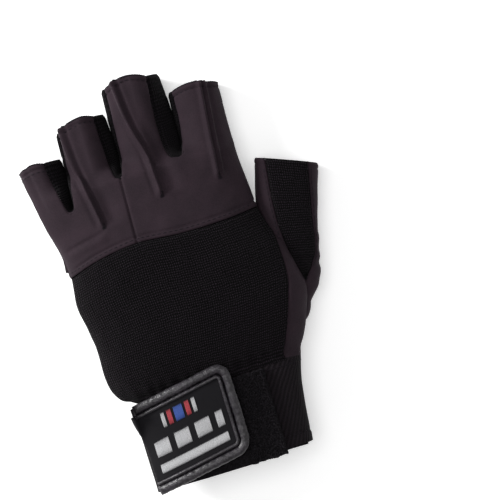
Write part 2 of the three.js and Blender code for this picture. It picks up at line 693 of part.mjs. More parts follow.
// The strap's upper line on the back, which leans up towards the thumb from the ulnar edge
const strapTopY = cuffTop - layerGap;
const strapEdge = halfWidth * strapUlnar;
const strapTop = (x) => strapTopY + Math.max(0, x - strapEdge) * Math.tan(turn(strapTilt));

// Loop pad: straight, over most of the cuff's back
function loopPad() {
  const left = halfWidth * loopStart;
  const right = halfWidth * loopEnd;
  const rows = steps(4).map((r) => cuffTop - layerGap * 3 - r * loopPadHeight);
  const place = (out) => rows.map((y) => steps(12).map((c) => {
    const x = mix(left, right, c);
    const ring = wristPoint(cuffTop - y, 0, 0);
    const middle = (halfWidth * cuffStations[0].ulnar + ring.x) / 2;
    const u = (x - middle) / (ring.x - middle + out);
    return point(x, y, cuffMiddle + (cuffThickness / 2 + out) * arc(u, cuffPower));
  }));
  return bandSolid(place(padOut + loopPadThickness), place(padOut), false);
}

// Strap: from its root on the palm side, round the ulnar edge and on to the loop pad
function strap() {
  const place = (extra) => steps(5).map((r) => steps(30).map((c) => {
    const angle = mix(turn(strapRootAngle), turn(strapEndAngle), c);
    const onBackSide = Math.sin(angle);
    const out = mix(layerGap, strapOut, smooth(-0.4, 0.5, onBackSide));
    const p = wristPoint(0, angle, out + extra);
    const top = onBackSide > 0 ? strapTop(p.x) - bindingWidth / 4 : strapTopY - bindingWidth / 4;
    p.y = top - r * (strapWidth - bindingWidth / 2);
    if (onBackSide > 0) p.z += lift(p.x, p.y) * smooth(0, 0.4, onBackSide);
    return p;
  }));
  return bandSolid(place(strapThickness), place(0), false);
}

// Right end of the tab at a distance below its upper line, round at its corners
function tabRight(down, inset) {
  const radius = cornerRadius - inset;
  const edge = Math.max(0, Math.min(down, strapWidth - down) - inset);
  const cut = edge < radius ? radius - Math.sqrt(radius ** 2 - (radius - edge) ** 2) : 0;
  return halfWidth * tabEnd - inset - cut;
}

// Tab: the woven field inside the binding
function tab() {
  const inset = bindingWidth - layerGap;
  const shares = [0, 0.02, 0.06, 0.13, 0.3, 0.5, 0.7, 0.87, 0.94, 0.98, 1];
  const place = (out) => shares.map((r) => steps(10).map((c) => {
    const down = inset + r * (strapWidth - 2 * inset);
    const x = mix(strapEdge + layerGap, tabRight(down, inset), c);
    return overWrist(x, strapTop(x) - down, out);
  }));
  return bandSolid(place(tabOut + tabThickness), place(tabOut), false);
}

// Binding: a rolled leather edge round the tab's upper, right and lower sides
function binding() {
  const inset = bindingWidth / 2 - layerGap;
  const radius = cornerRadius - inset;
  const right = halfWidth * tabEnd - inset;
  const left = strapEdge + inset / 2;
  const plan = [];
  const straight = steps(9).map((s) => mix(left, right - radius, s));
  straight.forEach((x) => plan.push([x, inset]));
  const corner = steps(4).slice(1).map((s) => s * Math.PI / 2);
  corner.forEach((a) => plan.push([right - radius + radius * Math.sin(a), inset + radius * (1 - Math.cos(a))]));
  const low = strapWidth - inset;
  steps(3).slice(1, -1).forEach((s) => plan.push([right, mix(inset + radius, low - radius, s)]));
  [...corner].reverse().forEach((a) => {
    plan.push([right - radius + radius * Math.sin(a), low - radius * (1 - Math.cos(a))]);
  });
  [...straight].reverse().forEach((x) => plan.push([x, low]));
  const centre = plan.map(([x, down]) => overWrist(x, strapTop(x) - down, tabOut + bindingThickness / 2));
  const sides = 8;
  const rings = centre.map((p, i) => {
    const along = centre[Math.min(i + 1, centre.length - 1)].clone().sub(centre[Math.max(i - 1, 0)]);
    const across = along.cross(point(0, 0, 1)).normalize();
    const above = overWrist(p.x + across.x, p.y + across.y, tabOut + bindingThickness / 2);
    across.z = above.z - p.z;
    return steps(sides).slice(0, -1).map((s) => {
      const angle = (s + 0.5 / sides) * 2 * Math.PI;
      const q = p.clone().addScaledVector(across, (bindingWidth / 2 - layerGap) * Math.cos(angle));
      q.z += bindingThickness / 2 * Math.sin(angle);
      return q;
    });
  });
  return tubeSolid(rings);
}

const group = new THREE.Group();

function addPiece(name, geometry, color, roughness) {
  const material = new THREE.MeshStandardMaterial({ color, roughness, metalness: 0 });
  const mesh = new THREE.Mesh(geometry, material);
  mesh.name = name;
  group.add(mesh);
}

const suede = '#2f262d';
const knit = '#131014';
const leather = '#37343a';
const elastic = '#17141a';

addPiece('knuckle_panel', panelWall('knuckle_panel', suedeWall), suede, 0.9);
addPiece('knit_panel', panelWall('knit_panel', knitWall), knit, 0.95);
addPiece('palm_leather', panelWall('palm_leather', leatherWall), leather, 0.6);
addPiece('heel_panel', geometryOf(heelPanel), suede, 0.9);
forks.forEach((fork, f) => {
  const name = `fourchette_${fingers[f].name}_${fingers[f + 1].name}`;
  addPiece(name, panelWall(name, knitWall), knit, 0.95);
});
fingers.forEach((finger) => {
  const name = `tip_band_${finger.name}`;
  addPiece(name, panelWall(name, suedeWall), suede, 0.9);
});
addPiece('thumb_panel', geometryOf(thumbPanel), suede, 0.9);
addPiece('thumb_knit', geometryOf(thumbKnit), knit, 0.95);
addPiece('wrist_cuff', cuff(), elastic, 0.9);
addPiece('loop_pad', loopPad(), '#0f0d10', 1);
addPiece('wrist_strap', strap(), elastic, 0.9);
addPiece('strap_tab', tab(), '#17151a', 0.85);
addPiece('tab_binding', binding(), '#3a383c', 0.45);

export default group;
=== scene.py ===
import math
import random

import bmesh
import bpy
from mathutils import Matrix, Vector, kdtree, noise
from mathutils.bvhtree import BVHTree


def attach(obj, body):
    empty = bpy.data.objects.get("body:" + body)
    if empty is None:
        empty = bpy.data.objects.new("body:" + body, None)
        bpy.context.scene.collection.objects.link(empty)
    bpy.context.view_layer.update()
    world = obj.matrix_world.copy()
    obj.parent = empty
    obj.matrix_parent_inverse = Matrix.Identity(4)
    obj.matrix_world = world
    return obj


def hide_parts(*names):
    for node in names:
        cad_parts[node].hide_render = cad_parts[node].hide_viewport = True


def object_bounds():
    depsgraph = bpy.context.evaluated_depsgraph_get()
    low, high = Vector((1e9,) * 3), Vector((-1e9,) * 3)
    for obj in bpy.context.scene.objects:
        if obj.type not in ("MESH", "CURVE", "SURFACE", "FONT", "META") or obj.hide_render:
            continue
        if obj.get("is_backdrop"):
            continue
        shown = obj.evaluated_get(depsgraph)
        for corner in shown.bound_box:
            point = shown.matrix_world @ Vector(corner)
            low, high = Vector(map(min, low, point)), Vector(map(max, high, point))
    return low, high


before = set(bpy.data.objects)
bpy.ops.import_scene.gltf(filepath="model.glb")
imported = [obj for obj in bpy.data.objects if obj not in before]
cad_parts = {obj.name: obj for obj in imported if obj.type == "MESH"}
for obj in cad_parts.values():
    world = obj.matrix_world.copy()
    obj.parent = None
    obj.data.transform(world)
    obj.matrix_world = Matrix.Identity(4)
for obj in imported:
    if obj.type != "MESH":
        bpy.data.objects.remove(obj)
cad_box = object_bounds()

# Camera: straight above, turned so that the fingers lean to the right of the picture's upper edge.
# A long lens keeps the outlines nearly parallel.
picture_centre = (0.0296, 0.0102)
picture_width = 0.230
picture_turn = math.radians(-17.0)
camera_distance = 1.0
middle_height = 0.015
camera_height = camera_distance + middle_height
camera_data = bpy.data.cameras.new("camera")
camera_data.sensor_width = 36.0
camera_data.lens = camera_data.sensor_width * camera_distance / picture_width
camera_data.clip_end = 10.0
camera = bpy.data.objects.new("camera", camera_data)
camera.location = (*picture_centre, camera_height)
camera.rotation_euler = (0.0, 0.0, picture_turn)
bpy.context.collection.objects.link(camera)
bpy.context.scene.camera = camera
bpy.context.scene.view_settings.view_transform = "Standard"


# Studio: a pale floor, a large soft box above left of the picture that brings out folds and nap, a weak
# one from the right, and an even pale surround.
def linear(code):
    """A colour from its sRGB hex code."""
    shares = [int(code[i:i + 2], 16) / 255 for i in (1, 3, 5)]
    return (*[c / 12.92 if c <= 0.04045 else ((c + 0.055) / 1.055) ** 2.4 for c in shares], 1.0)


def new_material(name, look):
    """A material whose shader has these numbers and colours all over."""
    material = bpy.data.materials.new(name)
    material.use_nodes = True
    for socket, value in look.items():
        material.node_tree.nodes["Principled BSDF"].inputs[socket].default_value = value
    return material


def soft_box(name, place, aim, size, power):
    light = bpy.data.lights.new(name, "AREA")
    light.shape = "DISK"
    light.size = size
    light.energy = power
    lamp = bpy.data.objects.new(name, light)
    lamp.location = place
    lamp.rotation_euler = (Vector(aim) - Vector(place)).to_track_quat("-Z", "Y").to_euler()
    bpy.context.collection.objects.link(lamp)


glove_middle = (0.0, 0.01, middle_height)
soft_box("key_box", (-0.8, 0.5, 0.45), glove_middle, 0.4, 13.0)
soft_box("side_box", (0.75, -0.1, 0.7), glove_middle, 0.7, 0.8)
soft_box("top_box", (-0.3, 0.2, 1.4), glove_middle, 1.0, 7.0)

world = bpy.data.worlds.new("studio")
world.use_nodes = True
surround = world.node_tree.nodes["Background"].inputs
surround["Color"].default_value = linear("#ffffff")
surround["Strength"].default_value = 0.34
bpy.context.scene.world = world

floor_half = 3.0
floor_clearance = 0.0002
floor_mesh = bmesh.new()
bmesh.ops.create_grid(floor_mesh, x_segments=1, y_segments=1, size=floor_half)
bmesh.ops.translate(floor_mesh, verts=floor_mesh.verts, vec=(0, 0, cad_box[0][2] - floor_clearance))
floor_data = bpy.data.meshes.new("floor")
floor_mesh.to_mesh(floor_data)
floor_mesh.free()
floor = bpy.data.objects.new("floor", floor_data)
bpy.context.collection.objects.link(floor)
floor.data.materials.append(new_material("studio_paper", {
    "Base Color": linear("#fbfbfb"), "Roughness": 0.9,
    "Emission Color": linear("#ffffff"), "Emission Strength": 0.38,
}))
floor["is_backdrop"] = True


# Knit back: one panel of ribbed stretch knit from the wrist seam to the knuckle hem. It is cut on the
# hand's own form and sewn in along all its edges, so its edges roll down into the seams.
palm_length = 100.0
wrist_seam = -41.5
half_width = 47.5
body_height = 31.0
edge_height = 12.0
finger_height = 22.5
finger_axis = 9.5
finger_length = 45.0
round_flank = 2
empty_flank = 1.5
finger_rise = (0.5, 0.9)
back_power = 2.4
palm_power = 2.6
palm_sink = 1.2
knit_wall = 1.4
weld_reach = 0.02
lowest_cloth = 0.02
full_turn = 2 * math.pi
MM = 0.001

# share of the palm's length from the wrist seam, then as shares of half_width the ulnar side, the radial
# side and the radial seam's inset, and as shares of their heights the crown and the two side seams
stations = (
    (0.0, -0.916, 0.811, 0.196, 0.79, 1.05, 1.05),
    (0.055, -1.015, 0.869, 0.19, 0.88, 1.0, 1.05),
    (0.145, -1.082, 0.96, 0.2, 0.95, 1.0, 1.1),
    (0.265, -1.09, 1.048, 0.2, 1.0, 1.0, 1.15),
    (0.365, -1.112, 1.032, 0.125, 1.0, 1.0, 1.2),
    (0.485, -1.147, 0.973, 0.06, 1.0, 1.0, 1.2),
    (0.57, -1.137, 0.905, 0.0, 0.99, 1.0, 1.17),
    (0.615, -1.13, 0.867, 0.0, 0.98, 1.0, 1.15),
    (0.7, -1.128, 0.82, 0.0, 0.95, 1.0, 1.1),
    (0.865, -1.204, 0.79, 0.0, 0.89, 0.95, 1.0),
    (1.0, -1.262, 0.787, 0.0, 0.83, 0.85, 0.9),
    (1.16, -1.318, 0.794, 0.0, 0.74, 0.8, 0.82),
    (1.47, -1.36, 0.82, 0.0, 0.6, 0.8, 0.8),
)
ULNAR, RADIAL, INSET, CROWN, ULNAR_SEAM, RADIAL_SEAM = 1, 2, 3, 4, 5, 6

# little, ring, middle and index finger: middle line at base and tip and half width as shares of
# half_width, share of finger_height, and length at the left and right and arch as shares of finger_length
fingers = (
    (-1.053, -1.13, 0.217, 0.86, 0.358, 0.385, 0.03),
    (-0.608, -0.598, 0.25, 0.95, 0.64, 0.695, 0.06),
    (-0.044, -0.008, 0.295, 1.0, 0.93, 0.93, 0.07),
    (0.524, 0.568, 0.255, 0.95, 0.705, 0.67, 0.045),
)
BASE, TIP, HALF, HIGH, LEFT_TIP, RIGHT_TIP, ARCH = range(7)

# place across, hem and heel seam as shares of the palm's length from the wrist seam
crossings = (
    (0.0, 0.63, 0.095),
    (0.19, 0.675, 0.14),
    (0.38, 0.695, 0.235),
    (0.6, 0.68, 0.33),
    (0.83, 0.683, 0.475),
    (1.0, 0.7, 0.7),
)


def mix(a, b, t):
    return a + (b - a) * t


def smooth(low, high, v):
    t = min(1.0, max(0.0, (v - low) / (high - low)))
    return t * t * (3 - 2 * t)


def follow(table, column, at):
    """A smooth value from a table of shares: a cubic through its rows."""
    i = 0
    while i < len(table) - 2 and at > table[i + 1][0]:
        i += 1

    def slope(a, b):
        return (table[b][column] - table[a][column]) / (table[b][0] - table[a][0])

    span = table[i + 1][0] - table[i][0]
    t = min(1.0, max(0.0, (at - table[i][0]) / span))
    start = slope(max(i - 1, 0), i + 1) * span
    end = slope(i, min(i + 2, len(table) - 1)) * span
    a, b = table[i][column], table[i + 1][column]
    cubic = 2 * t ** 3 - 3 * t ** 2
    return a * (cubic + 1) + start * (t ** 3 - 2 * t ** 2 + t) - b * cubic + end * (t ** 3 - t ** 2)


def share_at(y):
    return (y - wrist_seam) / palm_length


def ulnar_x(y):
    return half_width * follow(stations, ULNAR, share_at(y))


def radial_x(y):
    return half_width * follow(stations, RADIAL, share_at(y))


def back_limit(y):
    return radial_x(y) - half_width * max(0.0, follow(stations, INSET, share_at(y)))


def seam_height(y, across):
    at = share_at(y)
    sides = (follow(stations, ULNAR_SEAM, at), follow(stations, RADIAL_SEAM, at))
    return edge_height * mix(*sides, smooth(0.2, 0.8, across))


def hem_y(across):
    return wrist_seam + palm_length * follow(crossings, 1, across)


def heel_y(across):
    return wrist_seam + palm_length * follow(crossings, 2, across)


def blend(values, power=9):
    return sum(max(v, 0.0) ** power for v in values) ** (1 / power)


def arc(u, power):
    return max(0.0, 1 - min(abs(u), 1.0) ** power) ** (1 / power)


def finger_centre(finger, y):
    return half_width * mix(finger[BASE], finger[TIP], (share_at(y) - 0.9) / 0.5)


def back_height(x, y):
    at = share_at(y)
    left, right = ulnar_x(y), radial_x(y)
    across = (x - left) / (right - left)
    side = seam_height(y, across)
    crown = body_height * follow(stations, CROWN, at)
    height = side + (crown - side) * arc(2 * across - 1, back_power)
    heights = [height * (1 - smooth(0.99, 1.2, at))]
    rise = smooth(*finger_rise, at)
    if rise > 0:
        for finger in fingers:
            off = (x - finger_centre(finger, y)) / (finger[HALF] * half_width)
            drop = max(0.0, abs(off) - 1) * finger_axis * 3
            top = finger_height * finger[HIGH]
            round_top = arc(off, round_flank if off < 0 else empty_flank)
            heights.append((finger_axis + (top - finger_axis) * round_top - drop) * rise)
    return blend(heights)


def palm_height(x, y):
    at = share_at(y)
    left, right = ulnar_x(y), radial_x(y)
    across = (x - left) / (right - left)
    side = seam_height(y, across)
    depth = edge_height - side + (side + palm_sink) * arc(2 * across - 1, palm_power)
    depths = [depth * (1 - smooth(1.02, 1.2, at))]
    rise = smooth(*finger_rise, at)
    if rise > 0:
        for finger in fingers:
            off = (x - finger_centre(finger, y)) / (finger[HALF] * half_width)
            depth = edge_height - finger_axis + (finger_axis + palm_sink) * arc(off, round_flank)
            depths.append(depth * rise)
    return max(0.0, edge_height - blend(depths))


def on_back(x, y):
    return Vector((x, y, back_height(x, y)))


def on_palm(x, y):
    return Vector((x, y, palm_height(x, y)))


def on_ulnar(y):
    return Vector((ulnar_x(y), y, seam_height(y, 0)))


def on_radial(y):
    return Vector((radial_x(y), y, seam_height(y, 1)))


def new_cloth():
    """An empty mesh with a map in millimetres of cloth and a place for each point's notes."""
    bm = bmesh.new()
    bm.loops.layers.uv.new("cloth")
    bm.verts.layers.float_vector.new("notes")
    return bm


def lay(bm, across, along, size, place, notes=None, flip=False):
    """Lays a grid of cloth on a form: size is the cloth's own size in millimetres."""
    cloth = bm.loops.layers.uv["cloth"]
    made = bmesh.ops.create_grid(bm, x_segments=across, y_segments=along, size=0.5)["verts"]
    fresh = set(made)
    for face in bm.faces:
        if face.verts[0] in fresh:
            for corner in face.loops:
                corner[cloth].uv = ((corner.vert.co.x + 0.5) * size[0], (corner.vert.co.y + 0.5) * size[1])
    if flip:
        bmesh.ops.reverse_faces(bm, faces=[f for f in bm.faces if f.verts[0] in fresh])
    tags = bm.verts.layers.float_vector["notes"]
    for vert in made:
        u, v = vert.co.x + 0.5, vert.co.y + 0.5
        if notes:
            vert[tags] = notes(u, v)
        vert.co = place(u, v)


def relieve(bm, rise):
    """Moves each point along its normal by what rise says for its place and notes."""
    bm.normal_update()
    tags = bm.verts.layers.float_vector["notes"]
    moves = [(vert, vert.normal * rise(vert.co, vert[tags])) for vert in bm.verts]
    for vert, move in moves:
        vert.co += move
        vert.co.z = max(vert.co.z, lowest_cloth)


def weld(bm, dist=weld_reach):
    """Joins the points of strips that were laid edge to edge."""
    bmesh.ops.remove_doubles(bm, verts=bm.verts, dist=dist)


def sew_edges(bm, depth, reach, gap=0.12):
    """Rolls the cloth's open edges down into their seams and draws them back by the gap. Where it is
    below zero, they reach past the seam and overlap the next cloth."""
    bm.normal_update()
    edges = [vert for vert in bm.verts if vert.is_boundary]
    tree = kdtree.KDTree(len(edges))
    for i, vert in enumerate(edges):
        tree.insert(vert.co, i)
    tree.balance()
    moves = []
    for vert in bm.verts:
        share = max(0.0, 1 - tree.find(vert.co)[2] / reach)
        move = vert.normal * (-depth * share ** 2)
        if vert.is_boundary:
            inner = [e.other_vert(vert).co for e in vert.link_edges if not e.other_vert(vert).is_boundary]
            if inner:
                move += (inner[0] - vert.co).normalized() * gap
        moves.append((vert, move))
    for vert, move in moves:
        vert.co += move


def make_piece(name, bm, material, wall=0.0):
    """Turns millimetres into metres and makes the piece, with a wall to its inner side."""
    bmesh.ops.scale(bm, vec=(MM, MM, MM), verts=bm.verts)
    mesh = bpy.data.meshes.new(name)
    bm.to_mesh(mesh)
    bm.free()
    mesh.shade_smooth()
    mesh.materials.append(material)
    piece = bpy.data.objects.new(name, mesh)
    bpy.context.collection.objects.link(piece)
    if wall:
        inner = piece.modifiers.new("wall", "SOLIDIFY")
        inner.thickness = wall * MM
        inner.offset = -1.0
    return piece


def ripple(p, size, seed=0.0):
    """Smooth random height between about -1 and 1 with waves of this size."""
    return noise.noise(Vector((p[0] / size, p[1] / size, p[2] / size + seed)))


def ridge(off, width):
    """A soft ridge, 1 on its line and fading with the distance off it."""
    return math.exp(-(off / width) ** 2)


def node(tree, kind, inputs=None, **settings):
    """Adds a shader node with its settings and values, linked from sockets or nodes' first outputs."""
    made = tree.nodes.new("ShaderNode" + kind)
    for name, value in settings.items():
        setattr(made, name, value)
    for socket, value in (inputs or {}).items():
        if isinstance(value, bpy.types.Node):
            value = value.outputs[0]
        if isinstance(value, bpy.types.NodeSocket):
            tree.links.new(value, made.inputs[socket])
        else:
            made.inputs[socket].default_value = value
    return made


def threads(tree, place, spacing):
    """Crests and valleys of threads that lie side by side at this spacing in millimetres."""
    turn = node(tree, "Math", {0: place, 1: full_turn / spacing}, operation="MULTIPLY")
    return node(tree, "Math", {0: turn}, operation="SINE")


def colour_and_bump(tree, tone, stops, height, strength, distance):
    """Colours the surface by its tone between two stops, and raises it by its height."""
    shader = tree.nodes["Principled BSDF"]
    ramp = node(tree, "ValToRGB", {"Fac": tone})
    for element, (position, colour) in zip(ramp.color_ramp.elements, stops):
        element.position = position
        element.color = linear(colour)
    bump = node(tree, "Bump", {"Height": height, "Strength": strength, "Distance": distance})
    tree.links.new(ramp.outputs["Color"], shader.inputs["Base Color"])
    tree.links.new(bump.outputs["Normal"], shader.inputs["Normal"])


def knit_cloth(name, shade, fleck_and_painted_highlight, rib, wale):
    """Brushed polyester rib knit: matt yarn in fine courses. Its colour follows the yarn's height, with
    painted shade in the valleys and a painted highlight on the crests, mixed with real lighter fibre flecks.
    The flecks are drawn 0.4 mm wide, coarser than the fibres are, so that they show."""
    material = new_material(name, {
        "Roughness": 0.95, "Specular IOR Level": 0.06, "Sheen Weight": 0.02, "Sheen Roughness": 0.6,
    })
    tree = material.node_tree
    cloth = node(tree, "UVMap", uv_map="cloth")
    place = node(tree, "TexCoord").outputs["Object"]
    wander = node(tree, "TexNoise", {"Vector": cloth, "Scale": 0.35, "Detail": 3.0}).outputs["Color"]
    shift = node(tree, "VectorMath", {0: wander, 1: (1.4, 1.4, 0.0)}, operation="MULTIPLY")
    axes = node(tree, "SeparateXYZ", {0: node(tree, "VectorMath", {0: cloth, 1: shift}, operation="ADD")})
    course = threads(tree, axes.outputs["Y"], rib)
    loops = threads(tree, axes.outputs["X"], wale)
    yarn = node(tree, "Math", {0: loops, 1: 0.8, 2: course}, operation="MULTIPLY_ADD")
    fuzz = node(tree, "TexNoise", {"Vector": place, "Scale": 2600.0, "Detail": 4.0, "Roughness": 0.7})
    height = node(tree, "Math", {0: fuzz, 1: 2.2, 2: yarn}, operation="MULTIPLY_ADD")
    # The tone follows the height: painted shade in the valleys between courses and a painted highlight on
    # the crests, together with the fibre flecks.
    light = node(tree, "MapRange", {"Value": height, "From Min": 0.6, "From Max": 3.2})
    colour_and_bump(tree, light, ((0.32, shade), (1.0, fleck_and_painted_highlight)), height, 0.8, 0.0003)
    return material


rib_knit = knit_cloth("brushed_rib_knit", "#020102", "#2e262e", rib=1.15, wale=1.0)


seam_gap = 0.55
seam_lap = 1.4
cuff_height = 39.6
cuff_thickness = 20.5
cuff_lift = 3.8
cuff_top = wrist_seam - seam_gap
cuff_middle = cuff_lift + cuff_thickness / 2
cuff_power = 2.7
# share of the cuff's height, then its ulnar and radial side as shares of half_width
cuff_stations = (
    (0.0, -0.83, 0.8),
    (0.35, -0.8, 0.73),
    (1.0, -0.8, 0.665),
)


def wrist_point(down, angle, out):
    at = min(1.0, max(0.0, down / cuff_height))
    ulnar = half_width * follow(cuff_stations, 1, at)
    radial = half_width * follow(cuff_stations, 2, at)
    c, s = math.cos(angle), math.sin(angle)
    reach = (abs(c) ** cuff_power + abs(s) ** cuff_power) ** (-1 / cuff_power)
    x = (ulnar + radial) / 2 + ((radial - ulnar) / 2 + out) * reach * c
    return Vector((x, cuff_top - down, cuff_middle + (cuff_thickness / 2 + out) * reach * s))


def gathered(p):
    """Draws the last few millimetres above the wrist seam in to the cuff that they are sewn to."""
    share = smooth(mix(2.6, 6.0, smooth(-40.0, -30.0, p.x)), 0.0, p.y - wrist_seam)
    if share <= 0:
        return p
    ulnar, radial = half_width * cuff_stations[0][1], half_width * cuff_stations[0][2]
    off = (p.x - (ulnar + radial) / 2) / ((radial - ulnar) / 2)
    sewn = wrist_point(0, math.atan2((p.z - cuff_middle) / (cuff_thickness / 2), off), 0.5)
    sewn.y = p.y - seam_lap
    return p.lerp(sewn, share)


def knit_place(c, r):
    y = mix(wrist_seam, hem_y(c), r)
    if c < 1e-6:
        return gathered(on_ulnar(y))
    if r > 1 - 1e-6 and c > 1 - 1e-6:
        return on_radial(y)
    return gathered(on_back(mix(ulnar_x(y), back_limit(y), c), y))


def knit_rise(p, notes):
    """Slack in the knit: soft waves, a puff above the wrist seam and small gathers along it."""
    above = p.y - wrist_seam
    puff = 1.3 * ridge(above - 7, 6) * smooth(-10, -45, p.x)
    waves = 0.55 * ripple(p, 17) + 0.22 * ripple(p, 7, 4.0)
    gather = 0.2 * math.sin(p.x * 1.05 + 2.4 * ripple(p, 14)) * ridge(above - 3, 4.5)
    return puff + waves + gather


knit = new_cloth()
lay(knit, 150, 112, (92.0, 69.0), knit_place)
relieve(knit, knit_rise)
sew_edges(knit, 0.7, 1.8)
knit_panel = make_piece("knit_back", knit, rib_knit, knit_wall)
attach(knit_panel, "root")
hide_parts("knit_panel")


# Knuckle panel: synthetic suede over the knuckles and the back of each half finger, with a pressed pin
# tuck along the ring, middle and index fingers that ends in a bar tack. The tips are turned and stitched.
suede_wall = 1.2
hem_forks = (0.0, 0.12, 0.382, 0.7, 1.0)
fork_y = wrist_seam + palm_length
palm_fork_rise = 0.067
ulnar_fork = -0.19
radial_fork = -0.01
# each fork's place across, its rise as a share of finger_length, the middle of its gap, how far the seams
# beside it swing out, and its place and swings on the palm's side, all but the rise as shares of half_width
forks = (
    (-0.915, -0.18, -0.872, (-0.065, -0.055), (0.095, -0.025), -0.865, (-0.06, 0.0), (0.07, 0.0)),
    (-0.368, 0.015, -0.333, (-0.115, 0.037), (0.072, 0.022), -0.336, (-0.07, 0.0), (0.09, 0.0)),
    (0.23, 0.05, 0.285, (-0.21, 0.135), (0.095, 0.018), 0.27, (-0.06, 0.0), (0.1, 0.0)),
)
FORK_X, RISE, GAP_X, NEAR, FAR, PALM_X, PALM_NEAR, PALM_FAR = range(8)


def fork_height(rise):
    return fork_y + finger_length * rise


ulnar_y, radial_y = fork_height(ulnar_fork), fork_height(radial_fork)
side_forks = ((ulnar_x(ulnar_y), ulnar_y), (radial_x(radial_y), radial_y))
back_forks = (
    side_forks[0],
    *[(half_width * f[FORK_X], fork_height(f[RISE])) for f in forks],
    side_forks[1],
)
palm_forks = (
    side_forks[0],
    *[(half_width * f[PALM_X], fork_height(f[RISE] + palm_fork_rise)) for f in forks],
    side_forks[1],
)


def swing(pair, q):
    return half_width * (pair[0] * q ** 0.3 + pair[1] * q)


def left_seam(k, q, palm):
    x, start = (palm_forks if palm else back_forks)[k]
    y = mix(start, fork_y + finger_length * fingers[k][LEFT_TIP], q)
    if k == 0:
        return ulnar_x(y), y
    return x + swing(forks[k - 1][PALM_FAR if palm else FAR], q), y


def right_seam(k, q, palm):
    x, start = (palm_forks if palm else back_forks)[k + 1]
    y = mix(start, fork_y + finger_length * fingers[k][RIGHT_TIP], q)
    if k == 3:
        return radial_x(y), y
    return x + swing(forks[k][PALM_NEAR if palm else NEAR], q), y


def finger_point(k, q, t, palm):
    left, right = left_seam(k, q, palm), right_seam(k, q, palm)
    x, y = mix(left[0], right[0], t), mix(left[1], right[1], t)
    if k == 0 and t < 1e-6:
        return on_ulnar(y)
    if k == 3 and t > 1 - 1e-6:
        return on_radial(y)
    y += finger_length * fingers[k][ARCH] * q * 4 * t * (1 - t)
    return on_palm(x, y) if palm else on_back(x, y)


def hem_point(c):
    y = hem_y(c)
    if c < 1e-6:
        return on_ulnar(y)
    if c > 1 - 1e-6:
        return on_radial(y)
    return on_back(mix(ulnar_x(y), back_limit(y), c), y)


def knuckle_place(k):
    def place(t, r):
        hem = hem_point(mix(hem_forks[k], hem_forks[k + 1], t))
        if r < 1e-6:
            return hem
        top = finger_point(k, 0, t, False)
        y = mix(hem.y, top.y, r)
        if k == 0 and t < 1e-6:
            return on_ulnar(y)
        if k == 3 and t > 1 - 1e-6:
            return on_radial(y)
        return on_back(mix(hem.x, top.x, r), y)
    return place


far_from_tip = 60.0


def finger_notes(k):
    """The finger's number and the distance that is left to its tip."""
    def notes(t, q):
        start = mix(left_seam(k, 0, False)[1], right_seam(k, 0, False)[1], t)
        end = mix(left_seam(k, 1, False)[1], right_seam(k, 1, False)[1], t)
        return (k, 0.0, (1 - q) * (end - start))
    return notes


# each tuck's line from its bar tack to the tip: share of the palm's length, and x as a share of half_width
tuck_lines = (
    None,
    ((0.807, -0.648), (0.974, -0.703), (1.126, -0.758), (1.31, -0.779)),
    ((0.868, -0.03), (0.93, -0.035), (1.07, -0.055), (1.228, -0.13), (1.44, -0.17)),
    ((0.873, 0.555), (0.934, 0.566), (1.145, 0.602), (1.32, 0.638)),
)


def suede_cloth(name, dark, light, nap=0.00045):
    """Synthetic suede: microfibre with a brushed nap that lies in patches, matt with a soft sheen. The
    nap is drawn 0.45 mm wide, coarser than the fibres are, so that it shows."""
    material = new_material(name, {
        "Roughness": 0.85, "Specular IOR Level": 0.2,
        "Sheen Weight": 0.04, "Sheen Roughness": 0.45, "Sheen Tint": linear("#b9a3b3"),
    })
    tree = material.node_tree
    place = node(tree, "TexCoord").outputs["Object"]
    patches = node(tree, "TexNoise", {"Vector": place, "Scale": 90.0, "Detail": 3.0, "Roughness": 0.5})
    fibres = node(tree, "TexNoise", {"Vector": place, "Scale": 1 / nap, "Detail": 5.0, "Roughness": 0.75})
    mottle = node(tree, "Math", {0: patches, 1: 0.3}, operation="MULTIPLY")
    shade = node(tree, "Math", {0: fibres, 1: 0.8, 2: mottle}, operation="MULTIPLY_ADD")
    colour_and_bump(tree, shade, ((0.38, dark), (0.78, light)), fibres, 0.5, 0.00025)
    return material


suede = suede_cloth("synthetic_suede", "#1a1218", "#30232b")


tip_hem = 2.7
hem_fold = 2.8


def tuck_rise(k, p):
    """The little finger's shallow groove, or another finger's tuck above its bar tack: a crest with a
    groove on each side, or two crests side by side on the index finger."""
    if k == 0:
        return -0.7 * ridge(p.x - ulnar_x(p.y) - 4.6, 1.2) * smooth(0.92, 1.02, share_at(p.y))
    off = p.x - half_width * follow(tuck_lines[k], 1, share_at(p.y))
    end = wrist_seam + palm_length * tuck_lines[k][0][0]
    if k == 3:
        tuck = 1.3 * ridge(off - 1.5, 0.65) + 1.8 * ridge(off + 1.1, 0.9)
        tuck -= 0.8 * ridge(off - 3.4, 1.3) + 0.5 * ridge(off - 0.4, 0.45)
    else:
        tuck = 2.15 * ridge(off + 0.1, 1.15 if off < -0.1 else 0.7)
        tuck -= 0.4 * ridge(off + 2.9, 1.0) + 0.7 * ridge(off - 1.5, 0.8)
        tuck -= 1.15 * ridge(off - 5.6, 3.6)
    return tuck * smooth(end - 0.5, end + 3.0, p.y)


